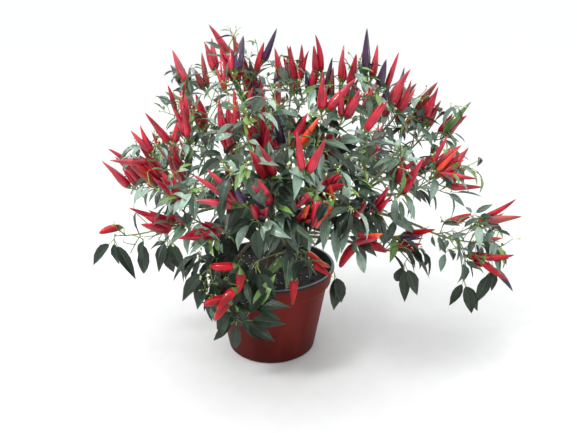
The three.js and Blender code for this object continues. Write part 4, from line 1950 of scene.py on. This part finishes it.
@dataclass
class Spray:
    """One mass of foliage: stem, twigs, finer shoots, leaves and bunches of chillies.

    A way is given by three shares: of the way aside, of the limb's own way and of the way up.
    """

    row: Bough
    index: int
    stem: Limb
    twigs: list[Limb]
    heart: Vector
    grower: Grower
    seed_step: int = 1009
    stem_steps: int = 6
    twig_steps: int = 3
    node_spacing: float = 0.015
    node_margins: Pair = (0.7, 0.5)
    node_share: float = 0.68
    node_leaf: Pair = (0.6, 1.15)
    whorl: tuple[int, int] = (4, 6)
    whorl_place: float = 0.98
    whorl_turn: float = 0.5
    whorl_leaf: Pair = (0.55, 1.05)
    fresh_pull: float = 1.6
    fresh_leaf: Pair = (0.34, 0.72)
    fresh_droop: float = 0.7
    droop: Pair = (0.15, 1.1)
    leaf_aside: float = 0.9
    leaf_along: Pair = (0.2, 0.7)
    leaf_outward: float = 0.35
    leaf_room: float = 1.15
    face_outward: Pair = (-0.1, 0.8)
    face_tilt: float = 0.55
    stalk_way: Triple = (0.8, 0.6, 0.3)
    most_buds: int = 3
    bud_along: float = 0.7
    bud_aside: Pair = (0.4, 1.2)
    bud_up: float = 0.4
    bud_places: Pair = (0.85, 1.0)
    shoot_places: tuple[float, ...] = (0.34, 0.56, 0.78, 0.95)
    shoot_share: float = 0.85
    shoot_turn: float = 1.1
    shoot_length: Pair = (0.018, 0.036)
    shoot_radii: Pair = (0.0009, 0.0006)
    shoot_way: Triple = (0.9, 0.75, 0.25)
    shoot_lift: float = 0.16
    fruit_pull: float = 0.4
    fruit_luck: float = 0.9
    fewest: int = 2
    bunch_gap: float = 0.028
    bunch_depth: float = 0.018
    fruit_room: float = 0.068
    fruit_size: Pair = (0.68, 1.1)
    steepest: float = 1.1
    upright: float = 4.2
    level: float = 0.21
    lean_waver: Triple = (0.35, 0.35, 0.15)
    turn_waver: float = 0.4
    bunch_spread: Pair = (0.3, 0.9)
    stalk_lean: float = 0.6
    stalk_along: float = 0.3
    pod_spread: Pair = (0.05, 0.3)
    stalk_room: float = 0.012
    pod_room: float = 1.12
    green_share: float = 0.02
    russet_share: float = 0.045

    def __post_init__(self) -> None:
        """Take the spray's own dice and habit."""
        self.dice = random.Random(self.seed_step * (self.index + 1))
        self.habit = self.row.shade.value
        self.shoots: list[Limb] = []

    def grow(self) -> None:
        """Grow the whole spray."""
        self.grower.shoot(self.stem, self.stem_steps)
        self.clothe(self.stem, True)
        for twig in self.twigs:
            if self.holds(twig.tip):
                self.grower.shoot(twig, self.twig_steps)
                self.clothe(twig, True)
        for shoot in self.fruiting_shoots():
            self.hang_bunch(shoot)

    def standing(self, limb: Limb) -> float:
        """Tell how far out and up a shoot ends, give or take some luck.

        Args:
            limb: The shoot.

        Returns:
            The distance, as a share of the spray's spread.
        """
        tip = limb.point(1.0)
        out = (tip - self.row.middle).dot(self.outward(tip) + UP * self.fruit_pull) / self.row.spread
        return out + self.dice.uniform(0.0, self.fruit_luck)

    def fruiting_shoots(self) -> list[Limb]:
        """Pick the shoots that end furthest out and up, and not too close together.

        Returns:
            The shoots.
        """
        picked: list[Limb] = []
        for shoot in sorted(self.shoots, key=self.standing, reverse=True):
            tip = shoot.point(1.0)
            apart = all((tip - other.point(1.0)).length > self.bunch_gap for other in picked)
            fits = self.has_room(tip + self.fruit_lean(tip) * self.fruit_room)
            if apart and fits and len(picked) < self.row.bunches:
                picked.append(shoot)
        return picked

    def has_room(self, spot: Vector) -> bool:
        """Tell whether a chilli's tip may stand at a point."""
        return (spot - self.row.middle).length < self.row.spread * self.habit.pod_reach and in_reach(spot)

    def fruit_lean(self, start: Vector) -> Vector:
        """Give the way that a bunch leans: out of the crown, and the higher it stands the more upright."""
        rise = min(self.steepest, max(0.0, self.upright * (start.z - self.level)))
        return (self.outward(start) + UP * rise).normalized()

    def holds(self, spot: Vector) -> bool:
        """Tell whether a point lies within the spray's reach."""
        return (spot - self.row.middle).length <= self.row.spread * self.habit.leaf_reach

    def outward(self, spot: Vector) -> Vector:
        """Give the way out of the crown at a point."""
        return (spot - self.heart).normalized()

    def clothe(self, limb: Limb, main: bool) -> None:
        """Set leaves along a limb, leaves and buds round its tip, and finer shoots on a main one.

        Args:
            limb: The stem, twig or finer shoot.
            main: Whether it carries finer shoots.
        """
        dice, leafing = self.dice, self.row.leafing
        nodes = max(1, round(limb.length / self.node_spacing))
        turn = dice.uniform(0, TURN)
        for i in range(nodes):
            share = (i + self.node_margins[0]) / (nodes + self.node_margins[1])
            if dice.random() < leafing * self.node_share:
                self.leaf(limb, share, turn + i * GOLDEN_ANGLE, dice.uniform(*self.node_leaf), False)
        for i in range(dice.randint(*self.whorl)):
            if dice.random() < leafing:
                fresh = dice.random() < self.habit.fresh * self.fresh_pull
                size = dice.uniform(*(self.fresh_leaf if fresh else self.whorl_leaf))
                self.leaf(limb, self.whorl_place, turn + self.whorl_turn + i * GOLDEN_ANGLE, size, fresh)
        for i in range(dice.randint(0, self.most_buds)):
            side = aside_of(limb.tangent(1.0), turn + i * GOLDEN_ANGLE)
            shares = (dice.uniform(*self.bud_aside), self.bud_along, self.bud_up)
            away = lean_of(side, limb.tangent(1.0), shares)
            self.grower.bud(limb.point(dice.uniform(*self.bud_places)), away, dice)
        for k, share in enumerate(self.shoot_places if main else ()):
            if dice.random() < leafing * self.shoot_share:
                self.side_shoot(limb, share, turn + self.shoot_turn + k * GOLDEN_ANGLE)
        self.shoots.append(limb)

    def side_shoot(self, limb: Limb, share: float, turn: float) -> None:
        """Grow a finer shoot on a main one, where the spray has room for it.

        Args:
            limb: What it grows on.
            share: Where along that.
            turn: Its bearing about the limb, in radians.
        """
        along = limb.tangent(share)
        away = lean_of(aside_of(along, turn), along, self.shoot_way).normalized()
        length = self.dice.uniform(*self.shoot_length)
        foot = limb.point(share)
        tip = foot + away * length + UP * (self.shoot_lift * length)
        if self.holds(tip):
            shoot = Limb(foot, foot + away * (length / 2), tip, *self.shoot_radii)
            self.grower.shoot(shoot, self.twig_steps)
            self.clothe(shoot, False)

    def leaf(self, limb: Limb, share: float, turn: float, size: float, fresh: bool) -> None:
        """Set one leaf on a limb, where the spray has room for it.

        Args:
            limb: What it grows on.
            share: Where along that.
            turn: Its bearing about the limb, in radians.
            size: Its size, where 1 is usual.
            fresh: Whether it is a young one.
        """
        dice = self.dice
        start, along = limb.point(share), limb.tangent(share)
        side, outward = aside_of(along, turn), self.outward(start)
        droop = dice.uniform(*self.droop) * self.habit.droop * (self.fresh_droop if fresh else 1.0)
        forward = along * dice.uniform(*self.leaf_along)
        pose = side * self.leaf_aside + forward + outward * self.leaf_outward - UP * droop
        tip = start + pose.normalized() * (self.grower.leaf_length * size * self.leaf_room)
        if not (self.holds(tip) and in_reach(tip)):
            return
        face = UP + outward * dice.uniform(*self.face_outward)
        face += ring_axes(pose.normalized())[0] * dice.gauss(0, self.face_tilt)
        away = lean_of(side, along, self.stalk_way)
        # Shaded leaves carry painted shade and lit ones a painted sheen of the sky, by the spray's shares.
        tone, roll = Tone.OPEN, dice.random()
        if fresh:
            tone = Tone.YOUNG_BACKLIT
        elif roll < self.habit.shaded:
            tone = Tone.DEEP
        elif roll < self.habit.shaded + self.habit.lit:
            tone = Tone.LIT
        self.grower.leaf(start, away, pose, face, tone, size * self.habit.size, dice)

    def hang_bunch(self, limb: Limb) -> None:
        """Set a bunch of chillies along a shoot's last stretch, nearly side by side.

        Args:
            limb: The shoot.
        """
        dice, end, along = self.dice, limb.point(1.0), limb.tangent(1.0)
        lean = self.fruit_lean(end)
        lean += Vector([dice.uniform(-waver, waver) for waver in self.lean_waver])
        lean.normalize()
        aside, across = ring_axes(lean)
        for i in range(dice.randint(self.fewest, self.habit.most_pods)):
            start = end - along * dice.uniform(0.0, self.bunch_depth)
            angle = i * GOLDEN_ANGLE + dice.uniform(-self.turn_waver, self.turn_waver)
            spread = (aside * cos(angle) + across * sin(angle)) * dice.uniform(*self.bunch_spread)
            away = lean * self.stalk_lean + along * self.stalk_along + spread
            pod_lean = lean + spread * dice.uniform(*self.pod_spread)
            reach = self.grower.pod_length * self.pod_room
            if in_reach(start + away.normalized() * self.stalk_room + pod_lean.normalized() * reach):
                ripeness = self.ripeness()
                self.grower.chilli(start, away, pod_lean, ripeness, dice.uniform(*self.fruit_size), dice)

    def ripeness(self) -> Ripeness:
        """Pick how ripe a chilli is, by the spray's shares.

        Returns:
            The kind.
        """
        roll = self.dice.random()
        shares = {
            Ripeness.PURPLE: self.habit.purple,
            Ripeness.GREEN: self.green_share,
            Ripeness.ORANGE: self.habit.orange,
            Ripeness.RUSSET: self.russet_share,
        }
        for ripeness, share in shares.items():
            roll -= share
            if roll < 0:
                return ripeness
        return Ripeness.RED


class To(Enum):
    """The way that something points, seen from the front: to the right, to the back and up."""

    UP = (0.05, -0.15, 1.0)
    UP_LEFT = (-0.6, -0.15, 0.7)
    UP_RIGHT = (0.5, -0.2, 0.85)
    LEFT = (-0.9, -0.2, 0.1)
    RIGHT = (0.9, -0.2, 0.0)
    LEFT_LOW = (-0.7, -0.25, -0.65)
    RIGHT_LOW = (0.8, -0.25, -0.45)
    DOWN_LEFT = (-0.35, -0.2, -0.95)
    DOWN = (0.05, -0.15, -1.0)
    DOWN_RIGHT = (0.4, -0.2, -0.95)


@dataclass(frozen=True)
class Trailer:
    """One shoot that hangs or stands out of a spray.

    It leaves the spray's stem at a share of its length and ends that many centimetres to the right of, to
    the back of and above the spray's middle. Leaves and chillies spread from its end.
    """

    spray: str
    share: float
    end: tuple[int, int, int]
    blades: tuple[To, ...] = ()
    # Trailing leaves take the darker tone unless told otherwise: painted shade.
    tone: Tone = Tone.DEEP
    pods: tuple[To, ...] = ()
    ripeness: Ripeness = Ripeness.RED
    stubby: bool = False


TRAILERS = (
    # A leafy sprig and dark leaves, their darkness painted shade, against the pot's left front.
    Trailer("left_front_low", 0.35, (4, -2, -6), (To.RIGHT_LOW, To.RIGHT, To.UP_RIGHT, To.UP_LEFT)),
    Trailer("left_front_low", 0.35, (5, -2, -5), (To.UP_RIGHT, To.UP_LEFT), Tone.YOUNG_BACKLIT),
    Trailer("left_front_low", 0.3, (5, -2, -3), (To.RIGHT_LOW, To.RIGHT, To.LEFT)),
    Trailer("left_front_low", 0.3, (3, -2, -6), (To.DOWN, To.LEFT_LOW, To.RIGHT_LOW)),
    Trailer("left_front_low", 0.4, (2, -2, -2), (To.DOWN_RIGHT, To.DOWN_LEFT, To.RIGHT_LOW, To.DOWN)),
    Trailer("left_front_low", 0.6, (-1, -2, 3), (To.DOWN_LEFT, To.DOWN, To.LEFT_LOW)),
    Trailer("left_front_low", 0.6, (2, -1, 3), (To.DOWN_RIGHT, To.DOWN)),
    Trailer("front_low", 0.2, (-7, -1, 0), (To.DOWN, To.DOWN_LEFT, To.DOWN_RIGHT)),
    Trailer("front_low", 0.1, (-8, 0, -1), (To.DOWN_LEFT, To.DOWN, To.RIGHT_LOW)),
    # Blunt red chillies in front of them.
    Trailer("left_front_low", 0.5, (4, -5, 5), pods=(To.LEFT, To.DOWN), stubby=True),
    Trailer("left_front_low", 0.8, (4, -6, 2), pods=(To.LEFT_LOW,), stubby=True),
    Trailer("left_front_low", 0.7, (3, -6, 0), pods=(To.LEFT, To.LEFT_LOW), stubby=True),
    # Single chillies over the pot's rim.
    Trailer("front_low", 0.4, (-1, 1, -2), pods=(To.DOWN,)),
    Trailer("front_low", 0.6, (0, 3, -1), pods=(To.RIGHT_LOW,)),
    Trailer("front_low", 0.8, (0, 6, -1), pods=(To.RIGHT_LOW,), ripeness=Ripeness.ORANGE),
    Trailer("front_low", 0.3, (-2, 4, -1), pods=(To.LEFT_LOW,), ripeness=Ripeness.GREEN),
    Trailer("right_front", 0.5, (4, 5, -5), pods=(To.LEFT_LOW, To.UP, To.RIGHT), stubby=True),
    # Bunches in the front of the crown.
    Trailer("front", 0.6, (7, -3, 3), pods=(To.DOWN, To.LEFT_LOW), stubby=True),
    Trailer("front", 0.6, (10, -3, 2), pods=(To.LEFT_LOW,), ripeness=Ripeness.ORANGE, stubby=True),
    Trailer("front", 0.3, (2, -4, -2), pods=(To.LEFT_LOW,), stubby=True),
    Trailer("front", 0.3, (-3, -5, 1), pods=(To.UP_LEFT, To.LEFT, To.UP_LEFT)),
    Trailer("front", 0.3, (-2, -6, 1), pods=(To.UP_LEFT,), ripeness=Ripeness.PURPLE),
    Trailer("front", 0.5, (5, -5, 5), pods=(To.UP_RIGHT, To.UP)),
    # Bunches that stand out of the top and the sides.
    Trailer("top_left", 0.9, (2, -2, 2), pods=(To.UP_LEFT,), ripeness=Ripeness.RUSSET),
    Trailer("top_left", 0.9, (4, -2, 2), pods=(To.UP_RIGHT,), ripeness=Ripeness.PURPLE),
    Trailer("top_left", 0.9, (3, -2, 0), pods=(To.UP, To.UP_LEFT)),
    Trailer("inner_right", 0.9, (1, -1, 7), pods=(To.UP, To.UP_RIGHT, To.UP)),
    Trailer("inner_right", 0.8, (4, -1, 6), pods=(To.UP_RIGHT, To.UP, To.UP_RIGHT)),
    Trailer("inner_right", 0.7, (7, -1, 4), pods=(To.UP_RIGHT, To.UP_RIGHT)),
    Trailer("left", 0.7, (0, -3, 4), pods=(To.UP_LEFT, To.LEFT, To.UP_LEFT)),
    Trailer("left", 0.4, (3, -3, 6), pods=(To.UP_LEFT, To.UP, To.UP_LEFT)),
    Trailer("right", 0.6, (1, -3, 0), pods=(To.UP_RIGHT, To.RIGHT, To.UP_RIGHT)),
    Trailer("right", 0.4, (-2, -4, 3), pods=(To.RIGHT, To.UP_RIGHT)),
    # Leaves that hide the forks.
    Trailer("left_front", 0.1, (6, 3, 0), (To.LEFT_LOW, To.DOWN_RIGHT, To.DOWN, To.RIGHT_LOW, To.LEFT)),
    Trailer("left_front", 0.1, (8, 7, -1), (To.DOWN_LEFT, To.DOWN, To.RIGHT_LOW)),
    Trailer("left_front", 0.1, (5, 5, -4), (To.DOWN_LEFT, To.DOWN, To.DOWN_RIGHT)),
    Trailer("front", 0.05, (-2, 13, -3), (To.DOWN_LEFT, To.DOWN, To.DOWN_RIGHT)),
    Trailer("front", 0.05, (-1, 12, -7), (To.DOWN_LEFT, To.DOWN_RIGHT)),
    Trailer("right_middle", 0.2, (0, -1, -5), (To.DOWN, To.LEFT_LOW, To.RIGHT_LOW), Tone.OPEN),
    Trailer("right_middle", 0.3, (3, 0, -6), (To.DOWN_RIGHT, To.DOWN_LEFT), Tone.OPEN),
    # Leaves that hang free to the right of the pot, and a bunch over them.
    Trailer("front_low", 0.9, (6, 5, -5), (To.DOWN_RIGHT, To.DOWN, To.DOWN)),
    Trailer("right_front_low", 0.8, (2, 4, -4), (To.DOWN, To.DOWN_LEFT, To.DOWN_RIGHT)),
    Trailer("right_low", 0.5, (0, -2, -7), (To.DOWN_LEFT, To.DOWN_RIGHT, To.DOWN)),
    Trailer("right_low", 0.9, (5, -2, -4), (To.DOWN, To.DOWN_RIGHT, To.DOWN_LEFT)),
    Trailer("right_low", 0.9, (4, -2, -3), pods=(To.RIGHT_LOW,), ripeness=Ripeness.PURPLE),
    Trailer("right_low", 0.7, (1, -4, -1), pods=(To.RIGHT, To.RIGHT_LOW, To.RIGHT)),
    # And to the left.
    Trailer("left_low", 0.5, (4, 0, 0), (To.DOWN, To.DOWN_LEFT, To.DOWN_RIGHT)),
    Trailer("left_low", 0.8, (0, 0, -1), (To.DOWN,)),
    Trailer("left_low", 0.9, (-3, 0, 1), pods=(To.LEFT,), stubby=True),
    Trailer("left_low", 1.0, (-5, 0, -1), (To.DOWN, To.LEFT_LOW, To.DOWN_RIGHT)),
)


@dataclass
class Crown:
    """All the sprays, joined into one piece for each kind of small thing."""

    bench: Bench
    skeleton: Skeleton
    pot: Pot
    leaf_crisp: float = 42.0
    shoot_crisp: float = 50.0
    crisp: float = 60.0
    trailer_seed: int = 77
    trailer_steps: int = 6
    trailer_radii: Pair = (0.001, 0.0007)
    trailer_bend: float = 0.45
    trailer_rise: float = 0.2
    trailer_face: Pair = (0.4, -1.1)
    trailer_stalk: float = 0.5
    trailer_leaf: Pair = (0.85, 1.35)
    trailer_pod: Pair = (0.85, 1.05)
    waver: float = 0.1

    def build(self) -> None:
        """Grow every spray and trailer, and make the joined pieces."""
        harvest = Harvest()
        grower = Grower(harvest, self.pot)
        limbs = self.skeleton.limbs()
        stems = {row.name: self.skeleton.stem(row, limbs[row.name]) for row in BOUGHS}
        for index, row in enumerate(BOUGHS):
            twigs = list(self.skeleton.twigs(row, index, stems[row.name]))
            Spray(row, index, stems[row.name], twigs, limbs["trunk"].tip, grower).grow()
        middles = {row.name: row.middle for row in BOUGHS}
        dice = random.Random(self.trailer_seed)
        for trailer in TRAILERS:
            self.trail(trailer, stems[trailer.spray], middles[trailer.spray], grower, dice)
        for tone, batch in harvest.leaves.items():
            name, face, back = tone.value
            self.make(name, batch, self.leaf_crisp, face, back)
        for ripeness, batch in harvest.pods.items():
            name, finish = ripeness.value
            self.make(name, batch, self.crisp, finish)
        self.make("green_shoots", harvest.shoots, self.shoot_crisp, Finish.SHOOT)
        self.make("leaf_stalks", harvest.stalks, self.crisp, Finish.STALK)
        self.make("calyxes", harvest.calyxes, self.crisp, Finish.CALYX)
        self.make("flower_buds", harvest.buds, self.crisp, Finish.BUD)

    def trail(self, trailer: Trailer, stem: Limb, middle: Vector, grower: Grower, dice: Dice) -> None:
        """Grow one trailer with what it bears.

        Args:
            trailer: The trailer.
            stem: The stem that it leaves.
            middle: The middle of its spray.
            grower: What makes its leaves and pods.
            dice: What they vary by.
        """
        foot, end = stem.point(trailer.share), middle + Vector(trailer.end) / CENTIMETRES_PER_METRE
        rise = self.trailer_rise * (end - foot).length
        bend = foot.lerp(end, self.trailer_bend) + UP * rise + stem.tangent(trailer.share) * rise
        shoot = Limb(foot, bend, end, *self.trailer_radii)
        grower.shoot(shoot, self.trailer_steps)
        onward = shoot.tangent(1.0) * self.trailer_stalk
        sway, front = self.trailer_face
        for to in trailer.blades:
            pose = self.wavering(to, dice)
            face = UP + Vector((dice.uniform(-sway, sway), front, 0.0))
            size = dice.uniform(*self.trailer_leaf)
            grower.leaf(end, pose + onward, pose, face, trailer.tone, size, dice)
        for to in trailer.pods:
            lean = self.wavering(to, dice)
            size = dice.uniform(*self.trailer_pod)
            grower.chilli(end, lean + onward, lean, trailer.ripeness, size, dice, trailer.stubby)

    def wavering(self, to: To, dice: Dice) -> Vector:
        """Turn a way that something points a little aside, by the dice."""
        return (Vector(to.value) + any_way(dice, self.waver)).normalized()

    def make(self, name: str, batch: Batch, crisp: float, *finishes: Finish) -> None:
        """Make one joined piece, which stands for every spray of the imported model.

        Args:
            name: Its name.
            batch: The small shapes that it joins.
            crisp: Edges sharper than this many degrees stay crisp.
            finishes: Its finishes, in order.
        """
        piece = batch.build(name, crisp)
        self.bench.dress(piece, "foliage", *finishes)
        self.bench.hand_over(piece, *(f"spray_{row.name}" for row in BOUGHS))
        log.info("%s: %d copies", name, batch.copies)


# ---- Studio ----


@dataclass(frozen=True)
class Panel:
    """A soft square light: where it hangs, what it points at, its side and its power in watts."""

    name: str
    place: Triple
    aim: Triple
    side: float
    power: float


@dataclass
class Studio:
    """Camera, floor and soft light."""

    bench: Bench
    eye: Triple = (0.033, -1.116, 0.671)
    look_down: float = radians(20)
    lens: float = 39.9
    sensor: float = 36.0
    floor_size: float = 600.0
    panels: tuple[Panel, ...] = (
        Panel("left_panel", (-1.3, -1.2, 1.9), (0.0, 0.0, 0.35), 0.4, 40.0),
        Panel("right_panel", (1.7, -0.5, 0.9), (0.0, 0.0, 0.2), 0.6, 6.0),
    )
    horizon_glow: Colour = (0.25, 0.25, 0.25, 1.0)
    overhead_glow: Colour = (0.98, 1.0, 1.0, 1.0)
    sky_strength: float = 2.9

    def build(self) -> None:
        """Set up the camera, the floor and the lights."""
        self.camera()
        self.floor()
        for panel in self.panels:
            self.light(panel)
        self.air()
        bpy.context.scene.view_settings.view_transform = "Standard"

    def air(self) -> None:
        """Fill the air with soft light, brightest overhead."""
        world = bpy.data.worlds.new("studio_air")
        graph = Graph(world)
        spot = graph.value("ShaderNodeTexCoord", {}, {}, "Generated")
        height = graph.value("ShaderNodeSeparateXYZ", {}, {0: spot}, 2)
        rise = graph.maths("MAXIMUM", height, 0.0)
        glow = graph.mix(rise * rise, self.horizon_glow, self.overhead_glow)
        sky = graph.value("ShaderNodeBackground", {}, {"Color": glow, "Strength": self.sky_strength})
        graph.node("ShaderNodeOutputWorld", {}, {"Surface": sky})
        bpy.context.scene.world = world

    def camera(self) -> None:
        """Stand the camera in front of the plant, looking down on it."""
        lens = bpy.data.cameras.new("camera")
        lens.lens = self.lens
        lens.sensor_width = self.sensor
        lens.clip_end = self.floor_size
        camera = bpy.data.objects.new("camera", lens)
        camera.location = self.eye
        camera.rotation_euler = (pi / 2 - self.look_down, 0.0, 0.0)
        bpy.context.scene.collection.objects.link(camera)
        bpy.context.scene.camera = camera

    def floor(self) -> None:
        """Lay the pale floor."""
        self.bench.clear()
        bpy.ops.mesh.primitive_plane_add(size=self.floor_size)
        floor = self.bench.started("studio_floor")
        floor.data.materials.append(self.bench.material(Finish.FLOOR))
        floor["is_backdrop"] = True

    def light(self, panel: Panel) -> None:
        """Hang a soft square light.

        Args:
            panel: The light.
        """
        glow = bpy.data.lights.new(panel.name, "AREA")
        glow.shape = "SQUARE"
        glow.size = panel.side
        glow.energy = panel.power
        lamp = bpy.data.objects.new(panel.name, glow)
        lamp.location = panel.place
        aim_line = Vector(panel.aim) - Vector(panel.place)
        lamp.rotation_euler = aim_line.to_track_quat("-Z", "Y").to_euler()
        bpy.context.scene.collection.objects.link(lamp)


def write_sizes() -> None:
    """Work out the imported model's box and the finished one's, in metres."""
    boxes = {"packed": CAD_BOX, "finished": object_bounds()}
    {name: [list(corner) for corner in box] for name, box in boxes.items()}


def main() -> None:
    """Build the plant piece by piece."""
    logging.basicConfig(level=logging.INFO, format="%(relativeCreated)7.0f ms  %(message)s")
    bench = Bench()
    skeleton = Skeleton()
    pot = Pot(bench)
    Studio(bench).build()
    pot.build()
    Soil(bench, pot).build()
    WoodyLimbs(bench, skeleton).build()
    Crown(bench, skeleton, pot).build()
    write_sizes()


if __name__ == "__main__":
    main()
